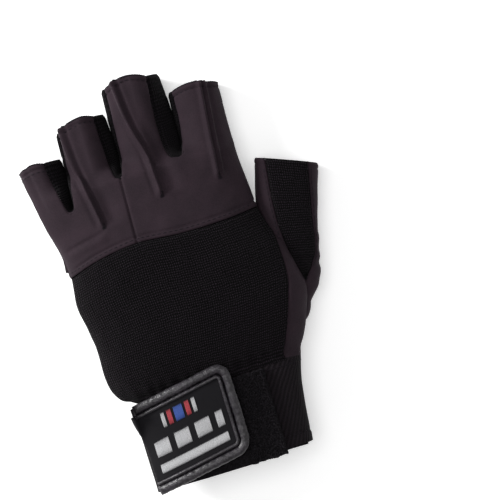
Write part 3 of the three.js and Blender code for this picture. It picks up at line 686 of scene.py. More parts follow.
def knuckle_rise(p, notes):
    """Pin tucks, the turned tip hems, the pressed seam and fold, and the slack of suede laid down empty."""
    left_over = notes[2]
    hem = 0.18 * smooth(2.6, 1.6, left_over) - 0.35 * ridge(left_over - tip_hem, 0.5)
    seam = -0.9 * ridge(p.x - mix(-18.3, -17.3, (p.y - 29.7) / 28.5), 0.45) * smooth(61, 58, p.y)
    across = (p.x - ulnar_x(p.y)) / (back_limit(p.y) - ulnar_x(p.y))
    above = p.y - hem_y(min(1.0, max(0.0, across)))
    fold = -0.55 * ridge(above - hem_fold, 0.55) + 0.25 * smooth(hem_fold, 1.5, above)
    fold *= smooth(0.01, 0.07, across)
    below = p.y - (37.5 + 0.19 * (p.x + 31.0))
    crease = 0.45 * ridge(below + 2.8, 1.8) - 0.5 * ridge(below, 0.9)
    crease *= smooth(-29, -34, p.x) * smooth(-53, -48, p.x)
    waves = 0.55 * ripple(p, 14, 2.0) + 0.18 * ripple(p, 5.5, 7.0)
    return tuck_rise(round(notes[0]), p) + hem + seam + fold + crease + waves


knuckles = new_cloth()
strip_columns = (20, 46, 50, 46)
strip_widths = (9.0, 25.0, 30.0, 28.0)
knuckle_depth = 32.0
for k, (columns, wide) in enumerate(zip(strip_columns, strip_widths)):
    lay(
        knuckles, columns, 48, (wide, knuckle_depth), knuckle_place(k),
        lambda t, r, k=k: (k, 0.0, far_from_tip),
    )
    lay(
        knuckles, columns, 56, (wide, finger_length * fingers[k][LEFT_TIP]),
        lambda t, v, k=k: finger_point(k, v, t, False), finger_notes(k),
    )
weld(knuckles)
relieve(knuckles, knuckle_rise)
sew_edges(knuckles, 0.55, 1.5)
knuckle_surface = BVHTree.FromBMesh(knuckles)
knuckle_panel = make_piece("knuckle_suede", knuckles, suede, suede_wall)
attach(knuckle_panel, "root")
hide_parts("knuckle_panel")


# Stitching: bonded polyester sewing thread, nearly black with a slight gloss. Each stitch is a short
# bead of thread that dips into the cloth at both ends.
def sewing_thread(name, colour, gloss=0.5):
    """Twisted thread, with painted shade between its strands, which are 0.3 mm wide."""
    material = new_material(name, {"Roughness": 0.6, "Specular IOR Level": gloss})
    tree = material.node_tree
    place = node(tree, "TexCoord").outputs["Object"]
    twist = node(tree, "TexNoise", {"Vector": place, "Scale": 3200.0, "Detail": 2.0})
    # The near-black stop is painted shade where the twist's height is lowest, between the strands.
    colour_and_bump(tree, twist, ((0.0, "#070507"), (0.6, colour)), twist, 0.4, 0.0001)
    return material


dark_thread = sewing_thread("bonded_polyester_thread", "#18141a", 0.12)

# length, gap and half thickness of the stitches in each kind of seam, in millimetres
tip_stitch = (1.9, 0.8, 0.2)
hem_stitch = (1.8, 0.8, 0.2)
tip_edge_stitch = (1.5, -0.35, 0.42)
channel_stitch = (2.0, 0.9, 0.24)
band_stitch = (1.8, 0.8, 0.22)
lock_stitch = (1.9, 0.8, 0.22)
binding_stitch = (2.1, 0.9, 0.3)


def even_points(line, step):
    """Points at even steps along a line of points."""
    found = [line[0].copy()]
    left = step
    for a, b in zip(line, line[1:]):
        length = (b - a).length
        done = 0.0
        while length - done >= left:
            done += left
            found.append(a.lerp(b, done / length))
            left = step
        left -= length - done
    return found


def beads(bm, places):
    """Small smooth beads, made a few at a time, which is faster, and then added."""
    batch_size = 60
    for start in range(0, len(places), batch_size):
        few = bmesh.new()
        for place in places[start:start + batch_size]:
            bmesh.ops.create_uvsphere(few, u_segments=6, v_segments=5, radius=1.0, matrix=place)
        batch = bpy.data.meshes.new("beads")
        few.to_mesh(batch)
        few.free()
        bm.from_mesh(batch)
        bpy.data.meshes.remove(batch)


def stitch(bm, surfaces, line, length, gap, radius, sunk=0.02):
    """A row of stitches along a line, each laid on the nearest cloth."""
    points = even_points(line, length + gap)
    places = []
    for a, b in zip(points, points[1:]):
        along = (b - a).normalized()
        middle = a + along * length / 2
        hits = [s.find_nearest(middle) for s in surfaces]
        spot, normal = min(hits, key=lambda h: h[3])[:2]
        along = (along - normal * along.dot(normal)).normalized()
        side = normal.cross(along)
        turn = Matrix((along, side, normal)).transposed().to_4x4()
        size = Matrix.Diagonal((length / 2, radius, radius, 1))
        place = Matrix.Translation(spot + normal * (radius * 0.35 - sunk)) @ turn @ size
        places.append(place @ Matrix.Rotation(math.pi / 2, 4, "Y"))
    beads(bm, places)


def bar_tack(bm, surface, centre, along, width, rows=7, pitch=0.42):
    """A short close row of stitches laid across the end of a tuck."""
    along = Vector(along).normalized()
    side = Vector((-along.y, along.x, 0))
    for i in range(rows):
        middle = Vector(centre) + along * (i - rows / 2) * pitch
        stitch(bm, [surface], [middle - side * width / 2, middle + side * width * 0.7], width, 0.05, 0.16)


def tuck_point(k, past):
    """A point on a finger's tuck, this far past its bar tack towards the tip."""
    y = wrist_seam + palm_length * tuck_lines[k][0][0] + past
    return on_back(half_width * follow(tuck_lines[k], 1, share_at(y)), y)


knuckle_stitches = bmesh.new()
for k in range(4):
    row = 1 - tip_hem / (finger_length * fingers[k][RIGHT_TIP])
    tip = [finger_point(k, row, t / 20, False) for t in range(21)]
    stitch(knuckle_stitches, [knuckle_surface], tip, *tip_stitch)
for k in (1, 2, 3):
    end, along = tuck_point(k, 1.0), tuck_point(k, 4.0) - tuck_point(k, 1.0)
    bar_tack(knuckle_stitches, knuckle_surface, end, (along.x, along.y, 0), 2.4)
hem_line = [hem_point(c / 60) + Vector((0, 2.0, 0.2)) for c in range(1, 60)]
stitch(knuckle_stitches, [knuckle_surface], hem_line, *hem_stitch)
for k in range(4):
    edge = [finger_point(k, 1.0, t / 30, False) + Vector((0, -0.3, -0.45)) for t in range(31)]
    stitch(knuckle_stitches, [knuckle_surface], edge, *tip_edge_stitch, sunk=0.2)
knuckle_seams = make_piece("knuckle_stitches", knuckle_stitches, dark_thread)
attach(knuckle_seams, "root")


# Fourchettes: narrow knit strips between neighbouring fingers, from one tip down round the fork and up
# to the next tip. Ribs run across the strip.
web_space = 1.6
web_bulge = 1.5
side_knit = knit_cloth("fourchette_rib_knit", "#050305", "#1e171e", rib=1.2, wale=0.8)


def fourchette_place(f):
    def place(s, path):
        away = abs(2 * path - 1)
        q = away ** 2.2
        left = path < 0.5
        k, t = (f, 1.0) if left else (f + 1, 0.0)
        top = finger_point(k, q, t, False)
        low = finger_point(k, q, t, True)
        middle = (top + low) / 2
        target = middle.copy()
        target.y += web_bulge * (1 - smooth(0.0, 0.06, q))
        clear = web_space / 2 * smooth(0.55, 1.0, q) - 0.05
        target.x = half_width * forks[f][GAP_X] + (-clear if left else clear)
        return top.lerp(low, s) + (target - middle) * 4 * s * (1 - s)
    return place


fourchette_names = ("fourchette_pinky_ring", "fourchette_ring_middle", "fourchette_middle_index")
for f, name in enumerate(fourchette_names):
    strip = new_cloth()
    lay(strip, 18, 150, (17.0, 62.0 + 20.0 * f), fourchette_place(f), flip=True)
    relieve(strip, lambda p, notes: 0.1 * ripple(p, 6, 3.0))
    sew_edges(strip, 0.7, 1.6, -0.3)
    fourchette = make_piece(name.replace("fourchette", "side_strip"), strip, side_knit, knit_wall)
    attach(fourchette, "root")
    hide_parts(name)


# Palm: grained leather from the heel seam to the finger bands, with three stitched channels that let it
# fold, and curved stitch rows round the finger forks.
leather_wall = 1.6
band_start = 0.7
palm_columns = (30, 34, 36, 36)
palm_widths = (14.0, 25.0, 28.0, 26.0)
channel_places = (38.0, 27.5, 16.5)
channel_bows = (3.0, 6.5, 9.0)
channel_ends = (34, 26, 18)
channel_half = 1.3
channel_depth = 0.9
palm_shares = [(x - ulnar_x(y)) / (radial_x(y) - ulnar_x(y)) for x, y in palm_forks]


def palm_point(p, y):
    if p < 1e-6:
        return on_ulnar(y)
    if p > 1 - 1e-6:
        return on_radial(y)
    return on_palm(mix(ulnar_x(y), radial_x(y), p), y)


def leather_place(k):
    def place(t, s):
        p = mix(palm_shares[k], palm_shares[k + 1], t)
        top = finger_point(k, 0, t, True)
        y = mix(heel_y(p), top.y, s)
        return top if s > 1 - 1e-6 else palm_point(p, y)
    return place


def grained_leather(name, dark, light, grain, rough, gloss, slack):
    """Goat leather, drum dyed: pebbled grain of this width in metres, with darker valleys, and crests
    that wear has polished."""
    material = new_material(name, {"Specular IOR Level": gloss})
    tree = material.node_tree
    place = node(tree, "TexCoord").outputs["Object"]
    wander = node(tree, "TexNoise", {"Vector": place, "Scale": 420.0, "Detail": 3.0}).outputs["Color"]
    shift = node(tree, "VectorMath", {0: wander, 1: (0.0012,) * 3}, operation="MULTIPLY")
    moved = node(tree, "VectorMath", {0: place, 1: shift}, operation="ADD")
    pebble = node(tree, "TexVoronoi", {"Vector": moved, "Scale": 1 / grain}, feature="F1")
    fold = node(tree, "TexNoise", {"Vector": place, "Scale": 130.0, "Detail": 5.0, "Roughness": 0.6})
    crest = node(tree, "Math", {0: 1.0, 1: pebble}, operation="SUBTRACT")
    height = node(tree, "Math", {0: fold, 1: slack, 2: crest}, operation="MULTIPLY_ADD")
    tone = node(tree, "MapRange", {"Value": height, "From Min": 0.5, "From Max": 1.5})
    colour_and_bump(tree, tone, ((0.15, dark), (0.85, light)), height, 0.5, 0.0003)
    worn = {"Value": height, "From Min": 0.6, "From Max": 1.4, "To Min": rough + 0.18, "To Max": rough}
    shine = node(tree, "MapRange", worn)
    tree.links.new(shine.outputs[0], tree.nodes["Principled BSDF"].inputs["Roughness"])
    return material


palm_hide = grained_leather("grained_goat_leather", "#131015", "#2e2930", 0.0015, 0.42, 0.45, 0.5)


def channel_y(n, x):
    """The palm's three channels, bowed towards the fingertips on the ulnar side."""
    across = (x - 0.02 * half_width) / half_width
    return channel_places[n] + channel_bows[n] * (0.45 - across) - 9.0 * across ** 2


def palm_rise(p, notes):
    """Channels, thumb folds and the slack of empty leather, all pressed in from the flat side."""
    pressed = 0.0
    if p.z < 6 and abs(p.x) < half_width:
        for n, end in enumerate(channel_ends):
            reach = smooth(-48, -40, p.x) * smooth(end + 4, end, p.x)
            pressed -= channel_depth * reach * ridge(p.y - channel_y(n, p.x), 0.8)
    fold = math.sin((p.x * 0.75 + p.y * 0.9) / 2.6 + 1.5 * ripple(p, 9))
    pressed -= 0.55 * (0.5 + 0.5 * fold) * smooth(6, 26, p.x) * smooth(34, 16, p.y) * smooth(9, 4, p.z)
    return pressed + 0.3 * ripple(p, 11, 5.0) - 0.3


leather = new_cloth()
for k, (columns, wide) in enumerate(zip(palm_columns, palm_widths)):
    lay(leather, columns, 88, (wide, 60.0), leather_place(k), flip=True)
    lay(
        leather, columns, 26, (wide, 20.0),
        lambda t, v, k=k: finger_point(k, band_start * v, t, True), flip=True,
    )
weld(leather)
relieve(leather, palm_rise)
sew_edges(leather, 0.3, 1.2, -0.3)
leather_surface = BVHTree.FromBMesh(leather)
palm_leather = make_piece("palm_hide", leather, palm_hide, leather_wall)
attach(palm_leather, "root")
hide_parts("palm_leather")

palm_stitches = bmesh.new()
for n, end in enumerate(channel_ends):
    for side in (-channel_half, channel_half):
        line = [on_palm(x, channel_y(n, x) + side) for x in range(-44, end)]
        stitch(palm_stitches, [leather_surface], line, *channel_stitch)
for k in (1, 2, 3):
    x, y = palm_forks[k]
    for depth in (2.2, 4.2):
        bend = [on_palm(x + w, y - depth + abs(w) ** 1.5 * 0.35) for w in [i * 0.75 - 6 for i in range(17)]]
        stitch(palm_stitches, [leather_surface], bend, *band_stitch)
palm_seams = make_piece("palm_stitches", palm_stitches, dark_thread)
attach(palm_seams, "root")


# Tip bands: a band of suede round the palm side of each finger opening, sewn to the palm leather, turned
# under at the tip and stitched twice.
band_hem = 0.75
band_names = ("tip_band_pinky", "tip_band_ring", "tip_band_middle", "tip_band_index")
band_stitches = bmesh.new()
for k, name in enumerate(band_names):
    band = new_cloth()
    lay(
        band, 30, 16, (24.0, 9.0),
        lambda t, v, k=k: finger_point(k, mix(band_start, 1.0, v), t, True),
        lambda t, v: (0.0, 0.0, v), flip=True,
    )
    relieve(band, lambda p, notes: 0.1 * ripple(p, 5) - 0.25 * ridge(notes[2] - band_hem, 0.05))
    sew_edges(band, 0.35, 1.2, -0.3)
    band_surface = BVHTree.FromBMesh(band)
    for share in (0.12, band_hem):
        row = [finger_point(k, mix(band_start, 1.0, share), t / 20, True) for t in range(1, 20)]
        stitch(band_stitches, [band_surface], row, *band_stitch)
    tip_band = make_piece(name.replace("tip_band", "suede_band"), band, suede, suede_wall)
    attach(tip_band, "root")
    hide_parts(name)
band_seams = make_piece("band_stitches", band_stitches, dark_thread)
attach(band_seams, "root")


# Thumb: a suede tube with a knit insert let into its back as a long V. It is sewn into the side of the
# heel panel, and its mouth is cut on a slant.
thumb_length = 66.0
thumb_half = 14.7
thumb_height = 17.5
thumb_root = (half_width * 0.895, wrist_seam + palm_length * 0.225)
thumb_lean = math.radians(12.8)
thumb_mouth_lean = math.radians(21.4)
thumb_middle = thumb_height / 2 + 0.3
thumb_power = 2.3
thumb_end = 0.16
root_overlap = 2.2
mouth_hem = 3.0
# share of the thumb's length, then bow and half width as shares of thumb_half, and share of its height
thumb_stations = (
    (0.0, 0.0, 0.5, 0.7),
    (0.14, -0.02, 0.84, 0.9),
    (0.33, -0.07, 0.95, 0.98),
    (0.55, -0.07, 0.97, 1.0),
    (0.78, -0.02, 0.98, 1.0),
    (1.0, 0.05, 1.0, 1.02),
)
# share of the thumb's length, then the insert's two seams as shares of thumb_half
insert_seams = (
    (0.15, 0.39, 0.39),
    (0.35, -0.06, 0.76),
    (0.6, -0.4, 0.74),
    (1.04, -0.68, 0.72),
)
thumb_along = Vector((math.sin(thumb_lean), math.cos(thumb_lean), 0))
thumb_across = Vector((thumb_along.y, -thumb_along.x, 0))


def thumb_sizes(at):
    bow = thumb_half * follow(thumb_stations, 1, at)
    half = thumb_half * follow(thumb_stations, 2, at)
    high = thumb_height / 2 * follow(thumb_stations, 3, at)
    return bow, half, high


def thumb_point(at, angle, out=0.0):
    """A point on the thumb's tube, which closes in a round end below its root."""
    bow, half, high = thumb_sizes(max(at, 0.0))
    closing = max(arc(min(at, 0.0) / thumb_end, 2), 0.02)
    half, high = half * closing, high * closing
    c, s = math.cos(angle), math.sin(angle)
    reach = (abs(c) ** thumb_power + abs(s) ** thumb_power) ** (-1 / thumb_power)
    off = bow + (half + out) * reach * c
    slant = math.tan(thumb_mouth_lean - thumb_lean) * smooth(0.5, 1.0, at)
    start = Vector((*thumb_root, thumb_middle + (high + out) * reach * s))
    return start + thumb_along * (thumb_length * at - off * slant) + thumb_across * off


def insert_angle(at, column):
    """Angle round the thumb of the insert's left or right seam."""
    bow, half, high = thumb_sizes(at)
    u = (thumb_half * follow(insert_seams, column, max(at, insert_seams[0][0])) - bow) / half
    return math.atan2(arc(u, thumb_power) * high, u * high)


def in_hand(p, depth):
    """Whether a point of the thumb lies deeper than this inside the hand's own form."""
    if p.x > radial_x(p.y) - depth or p.y < wrist_seam:
        return False
    return palm_height(p.x, p.y) + depth < p.z < back_height(p.x, p.y) - depth


def thumb_rise(p, notes):
    """Creases across the thumb, fuller near its root, and a turned hem at the mouth."""
    at = notes[0]
    if at < 0.02:
        return 0.0
    slack = smooth(0.02, 0.25, at)
    crease = slack * math.sin(p.y * 0.75 + p.x * 0.35 + 2.0 * ripple(p, 8)) * smooth(0.75, 0.1, at)
    hem = -0.3 * ridge((1 - at) * thumb_length - mouth_hem, 0.5)
    return 0.35 * crease + 0.3 * slack * ripple(p, 10, 9.0) + hem


def cut_root(bm):
    """Takes out the end of the tube that would lie inside the hand."""
    inside = [f for f in bm.faces if all(in_hand(v.co, root_overlap) for v in f.verts)]
    bmesh.ops.delete(bm, geom=inside, context="FACES")


def thumb_place(c, v):
    at = mix(-thumb_end, 1.0, v)
    start = max(at, 0.0)
    return thumb_point(at, mix(insert_angle(start, 1), insert_angle(start, 2) + full_turn, c))


thumb_cloth = new_cloth()
lay(
    thumb_cloth, 84, 104, (62.0, 75.0), thumb_place,
    lambda c, v: (mix(-thumb_end, 1.0, v), 0.0, 0.0), flip=True,
)
weld(thumb_cloth)
relieve(thumb_cloth, thumb_rise)
sew_edges(thumb_cloth, 0.6, 1.5)
cut_root(thumb_cloth)
thumb_surface = BVHTree.FromBMesh(thumb_cloth)
thumb_panel = make_piece("thumb_suede", thumb_cloth, suede, suede_wall)
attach(thumb_panel, "root")
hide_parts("thumb_panel")

insert_start = insert_seams[0][0]
insert_weld = 0.005


def insert_place(c, v):
    at = mix(insert_start, 1.0, v)
    return thumb_point(at, mix(insert_angle(at, 2), insert_angle(at, 1), c))


insert_cloth = new_cloth()
lay(
    insert_cloth, 36, 84, (20.0, 56.0), insert_place,
    lambda c, v: (mix(insert_start, 1.0, v), 0.0, 0.0), flip=True,
)
weld(insert_cloth, insert_weld)
relieve(insert_cloth, thumb_rise)
sew_edges(insert_cloth, 0.7, 1.6)
cut_root(insert_cloth)
thumb_knit = make_piece("thumb_insert", insert_cloth, rib_knit, knit_wall)
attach(thumb_knit, "root")
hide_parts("thumb_knit")

thumb_stitches = bmesh.new()
for column, aside in ((1, 0.09), (2, -0.09)):
    seam = [thumb_point(at / 40, insert_angle(at / 40, column) + aside, 0.2) for at in range(10, 40)]
    stitch(thumb_stitches, [thumb_surface], seam, *tip_stitch)
mouth = [thumb_point(1 - mouth_hem / thumb_length, math.pi + a * math.pi / 45) for a in range(46)]
stitch(thumb_stitches, [thumb_surface], mouth, *tip_stitch)
thumb_seams = make_piece("thumb_stitches", thumb_stitches, dark_thread)
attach(thumb_seams, "root")


# Heel: suede over the heel of the palm and round the thumb side to the knit back, cut in one piece, with a
# hole that the thumb is sewn into.
def heel_side(m, r):
    y = mix(wrist_seam, hem_y(1), r)
    if m < 1e-6 or r > 1 - 1e-6:
        return gathered(on_radial(y))
    return gathered(on_back(mix(radial_x(y), back_limit(y), m), y))


def in_thumb(p, depth):
    """Whether a point of the heel lies deeper than this inside the thumb's tube."""
    off = p - Vector((*thumb_root, thumb_middle))
    at = off.dot(thumb_along) / thumb_length
    if not 0.1 < at < 0.62:
        return False
    bow, half, high = thumb_sizes(at)
    across = abs(off.dot(thumb_across) - bow) / (half - depth)
    return across ** thumb_power + (abs(off.z) / (high - depth)) ** thumb_power < 1


hole_overlap = 2.4
heel = new_cloth()
lay(heel, 30, 90, (12.0, 70.0), heel_side, flip=True)
lay(
    heel, 130, 40, (96.0, 34.0),
    lambda p, r: gathered(palm_point(p, mix(wrist_seam, heel_y(p), r))), flip=True,
)
weld(heel)
relieve(heel, lambda p, notes: 0.35 * ripple(p, 11, 1.0) + 0.15 * ripple(p, 5, 6.0) - 0.15)
sew_edges(heel, 0.8, 1.8)
thumb_hole = [f for f in heel.faces if all(in_thumb(v.co, hole_overlap) for v in f.verts)]
bmesh.ops.delete(heel, geom=thumb_hole, context="FACES")
heel_surface = BVHTree.FromBMesh(heel)
heel_panel = make_piece("heel_suede", heel, suede, suede_wall)
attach(heel_panel, "root")
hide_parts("heel_panel")

heel_stitches = bmesh.new()
heel_line = [palm_point(p / 60, heel_y(p / 60) - 1.6) for p in range(2, 54)]
stitch(heel_stitches, [heel_surface], heel_line, *lock_stitch)
heel_seams = make_piece("heel_stitches", heel_stitches, dark_thread)
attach(heel_seams, "root")


# Cuff: a tube of ribbed elastic webbing, sewn to the wrist seam with its upper edge tucked inside, and
# with a folded lower edge.
elastic_wall = 1.8
cuff_tuck = 3.0
cuff_hem = 5.2
pick_spacing = 0.7


def elastic_cloth(name, dark, light, cord, turn=0.0):
    """Knitted elastic webbing: rubber-cored cords side by side under matt polyester yarn."""
    look = {"Roughness": 0.85, "Specular IOR Level": 0.12, "Sheen Weight": 0.02}
    material = new_material(name, look)
    tree = material.node_tree
    cloth = node(tree, "UVMap", uv_map="cloth")
    turned = node(tree, "VectorRotate", {"Vector": cloth, "Angle": turn}, rotation_type="Z_AXIS")
    wander = node(tree, "TexNoise", {"Vector": cloth, "Scale": 0.25, "Detail": 2.0})
    axes = node(tree, "SeparateXYZ", {0: turned})
    bent = node(tree, "Math", {0: wander, 1: 0.9, 2: axes.outputs["X"]}, operation="MULTIPLY_ADD")
    cords = threads(tree, bent, cord)
    picks = threads(tree, axes.outputs["Y"], pick_spacing)
    weave = node(tree, "Math", {0: picks, 1: 0.35, 2: cords}, operation="MULTIPLY_ADD")
    fuzz = node(tree, "TexNoise", {"Vector": cloth, "Scale": 2.4, "Detail": 4.0, "Roughness": 0.7})
    height = node(tree, "Math", {0: fuzz, 1: 1.4, 2: weave}, operation="MULTIPLY_ADD")
    tone = node(tree, "MapRange", {"Value": height, "From Min": -0.4, "From Max": 2.4})
    colour_and_bump(tree, tone, ((0.0, dark), (1.0, light)), height, 0.6, 0.0004)
    return material


cuff_elastic = elastic_cloth("ribbed_elastic", "#0c080b", "#1c161b", cord=1.9, turn=math.radians(24))


def cuff_rise(p, notes):
    """A folded hem at the lower edge and slight waves above it."""
    left_over = cuff_height - notes[1]
    hem = 0.35 * smooth(5.0, 3.6, left_over) - 0.3 * ridge(left_over - cuff_hem, 0.5)
    return hem + 0.3 * ripple(p, 15, 2.0)


def cuff_place(a, v):
    down = mix(-cuff_tuck, cuff_height, v)
    return wrist_point(down, a * full_turn, -1.6 * smooth(0, -1.2, down))


cuff = new_cloth()
lay(
    cuff, 200, 58, (168.0, cuff_height + cuff_tuck), cuff_place,
    lambda a, v: (a, mix(-cuff_tuck, cuff_height, v), 0.0),
)
weld(cuff)
relieve(cuff, cuff_rise)
cuff_surface = BVHTree.FromBMesh(cuff)
wrist_cuff = make_piece("elastic_cuff", cuff, cuff_elastic, elastic_wall)
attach(wrist_cuff, "root")
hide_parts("wrist_cuff")

cuff_stitches = bmesh.new()
for down in (2.6, cuff_height - cuff_hem):
    ring = [wrist_point(down, a * full_turn / 90, 0) for a in range(91)]
    stitch(cuff_stitches, [cuff_surface], ring, *lock_stitch)
cuff_seams = make_piece("cuff_stitches", cuff_stitches, dark_thread)
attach(cuff_seams, "root")


# Loop pad: the soft half of the strap's fastener, brushed nylon loops on a knitted ground, sewn flat to
# the back of the cuff.
layer_gap = 0.4
loop_pad_thickness = 1.6
loop_pad_height = 40.2
loop_start = half_width * -0.72
loop_end = half_width * 0.41
pad_out = layer_gap


def loop_cloth(name, dark, light):
    """Brushed nylon loops: a deep black, very matt fuzz whose lighter stop is a painted highlight of grey
    glints. The fuzz is drawn 0.7 mm wide, coarser than the filaments are, so that it shows."""
    material = new_material(name, {"Roughness": 0.95, "Specular IOR Level": 0.15})
    tree = material.node_tree
    place = node(tree, "TexCoord").outputs["Object"]
    fuzz = node(tree, "TexNoise", {"Vector": place, "Scale": 1500.0, "Detail": 6.0, "Roughness": 0.8})
    colour_and_bump(tree, fuzz, ((0.42, dark), (0.72, light)), fuzz, 0.9, 0.0005)
    return material


# The loop ground's lighter stop is a painted highlight of glints on the fuzz.
loops_black = loop_cloth("brushed_nylon_loops", "#050405", "#242126")


def pad_place(c, v):
    y = cuff_top - layer_gap * 3 - (1 - v) * loop_pad_height
    x = mix(loop_start, loop_end, c)
    edge = wrist_point(cuff_top - y, 0, 0).x
    middle = (half_width * cuff_stations[0][1] + edge) / 2
    out = pad_out + loop_pad_thickness
    u = (x - middle) / (edge - middle + out)
    return Vector((x, y, cuff_middle + (cuff_thickness / 2 + out) * arc(u, cuff_power)))


pad = new_cloth()
lay(pad, 96, 72, (54.0, loop_pad_height), pad_place)
relieve(pad, lambda p, notes: 0.35 * ripple(p, 1.6) + 0.25 * ripple(p, 0.8, 3.0))
loop_pad = make_piece("loop_ground", pad, loops_black, loop_pad_thickness)
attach(loop_pad, "root")
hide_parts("loop_pad")

loop_count = 1500
loop_thickness = 0.13
tab_end = half_width * 0.095
first_loop = (tab_end - 2 - loop_start) / (loop_end - loop_start)
last_loop = 0.985
random.seed(7)
loop_places = []
for i in range(loop_count):
    spot = pad_place(random.uniform(first_loop, last_loop), random.random())
    turn = Matrix.Rotation(random.uniform(0, math.pi), 4, "Z")
    turn = turn @ Matrix.Rotation(random.uniform(-0.6, 0.6), 4, "X")
    size = Matrix.Diagonal((random.uniform(0.5, 0.9), loop_thickness, random.uniform(0.35, 0.75), 1))
    loop_places.append(Matrix.Translation(spot + Vector((0, 0, 0.1))) @ turn @ size)
pile = bmesh.new()
beads(pile, loop_places)
# The pile's lighter stop is a painted highlight on the loops, made lighter than the ground's so the loops
# show.
pile_nylon = loop_cloth("nylon_loop_pile", "#0b090b", "#3b373d")
loop_pile = make_piece("loop_pile", pile, pile_nylon)
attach(loop_pile, "root")


# Wrist strap: woven elastic, sewn down at its root on the palm side, which runs round the little finger's
# edge of the wrist and ends on the loops.
strap_width = 42.5
strap_tilt = math.tan(math.radians(10.6))
strap_thickness = 2.0
tab_thickness = 2.2
binding_width = 4.6
binding_thickness = 3.2
corner_radius = 7.0
strap_ulnar = half_width * -0.895
strap_root_angle = math.radians(312)
strap_end_angle = math.radians(91)
strap_out = pad_out + loop_pad_thickness + layer_gap
tab_out = strap_out + strap_thickness + layer_gap
strap_top_y = cuff_top - layer_gap
strap_reach = abs(tab_end - strap_ulnar) * strap_tilt


def cuff_back(x, out):
    radial = half_width * cuff_stations[0][2]
    middle = (half_width * cuff_stations[0][1] + radial) / 2
    return cuff_middle + (cuff_thickness / 2 + out) * arc((x - middle) / (radial - middle + out), cuff_power)


def lift(x, y):
    """How far the strap and tab rise where they run up over the glove's back."""
    glove = back_height(x, wrist_seam + strap_reach) + layer_gap
    rise = max(0.0, glove - cuff_back(x, strap_out))
    return rise * smooth(wrist_seam - strap_width * 0.6, wrist_seam - layer_gap, y)


def over_wrist(x, y, out):
    return Vector((x, y, cuff_back(x, out) + lift(x, y)))


def strap_top(x):
    return strap_top_y + max(0.0, x - strap_ulnar) * strap_tilt


def strap_place(c, v):
    angle = mix(strap_root_angle, strap_end_angle, c)
    on_top = math.sin(angle)
    out = mix(layer_gap, strap_out, smooth(-0.4, 0.5, on_top)) + strap_thickness
    p = wrist_point(0, angle, out)
    p.y = (strap_top(p.x) if on_top > 0 else strap_top_y) - binding_width / 4
    p.y -= (1 - v) * (strap_width - binding_width / 2)
    if on_top > 0:
        p.z += lift(p.x, p.y) * smooth(0, 0.4, on_top)
    return p


strap_elastic = elastic_cloth("woven_elastic", "#080608", "#1c181d", cord=1.3, turn=math.radians(90))
strap = new_cloth()
lay(strap, 220, 50, (104.0, 40.0), strap_place)
relieve(strap, lambda p, notes: 0.12 * ripple(p, 9))
wrist_strap = make_piece("elastic_strap", strap, strap_elastic, strap_thickness)
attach(wrist_strap, "root")
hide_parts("wrist_strap")


# Strap tab: a stiff jacquard-woven field inside the binding, with plain embroidered bars in grey, red
# and blue rayon.
yarn_spacing = 0.55
field_length = 44
satin_spacing = 0.42
satin_half = 0.26


def tab_right(down, inset):
    radius = corner_radius - inset
    edge = max(0.0, min(down, strap_width - down) - inset)
    cut = radius - math.sqrt(radius ** 2 - (radius - edge) ** 2) if edge < radius else 0.0
    return tab_end - inset - cut


def tab_point(c, v):
    inset = binding_width - layer_gap
    down = inset + (1 - v) * (strap_width - 2 * inset)
    x = mix(strap_ulnar + layer_gap, tab_right(down, inset), c)
    return over_wrist(x, strap_top(x) - down, tab_out + tab_thickness)


def woven_cloth(name, dark, light):
    """Jacquard-woven polyester: flat yarns 0.55 mm apart, over and under, slightly silky."""
    material = new_material(name, {"Roughness": 0.7, "Specular IOR Level": 0.15})
    tree = material.node_tree
    cloth = node(tree, "UVMap", uv_map="cloth")
    axes = node(tree, "SeparateXYZ", {0: cloth})
    warp = threads(tree, axes.outputs["X"], yarn_spacing)
    weft = threads(tree, axes.outputs["Y"], yarn_spacing)
    weave = node(tree, "Math", {0: warp, 1: weft}, operation="MULTIPLY")
    fuzz = node(tree, "TexNoise", {"Vector": cloth, "Scale": 3.0, "Detail": 4.0})
    height = node(tree, "Math", {0: fuzz, 1: 1.2, 2: weave}, operation="MULTIPLY_ADD")
    tone = node(tree, "MapRange", {"Value": height, "From Min": -0.4, "From Max": 1.6})
    colour_and_bump(tree, tone, ((0.0, dark), (1.0, light)), height, 0.45, 0.0002)
    return material


field_cloth = woven_cloth("jacquard_field", "#080709", "#17151a")
tab = new_cloth()
lay(tab, 96, 72, (field_length, 34.0), tab_point)
relieve(tab, lambda p, notes: 0.12 * ripple(p, 8, 2.0))
sew_edges(tab, 0.5, 1.2, 0.0)
tab_surface = BVHTree.FromBMesh(tab)
strap_tab = make_piece("woven_tab", tab, field_cloth, tab_thickness)
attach(strap_tab, "root")
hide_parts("strap_tab")

# Satin bars: rows of close flat threads, so each bar has the embroidery's own height and sheen.
# Each block gives its left and right end and its low and high side as shares of the field.
middle_row, upper_row = (0.33, 0.56), (0.67, 0.88)
bars = (
    ("satin_grey", "#c4c4c6", (
        (0.1, 0.9, 0.12, 0.25), (0.1, 0.27, *middle_row), (0.34, 0.51, *middle_row),
        (0.58, 0.75, *middle_row), (0.82, 0.9, *middle_row),
        (0.26, 0.3, *upper_row), (0.62, 0.66, *upper_row),
    )),
    ("satin_red", "#b4404a", ((0.33, 0.38, *upper_row), (0.54, 0.59, *upper_row))),
    ("satin_blue", "#3c5aa8", ((0.41, 0.51, *upper_row),)),
)
for name, colour, blocks in bars:
    satin = bmesh.new()
    for left, right, low, high in blocks:
        count = round((right - left) * field_length / satin_spacing)
        for i in range(count):
            c = mix(left, right, (i + 0.5) / count)
            foot, head = tab_point(c, low), tab_point(c, high)
            past = head + (head - foot) * 0.02
            stitch(satin, [tab_surface], [foot, past], (head - foot).length, 0.0, satin_half)
    satin_bar = make_piece(name, satin, sewing_thread("rayon_thread_" + name, colour))
    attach(satin_bar, "root")


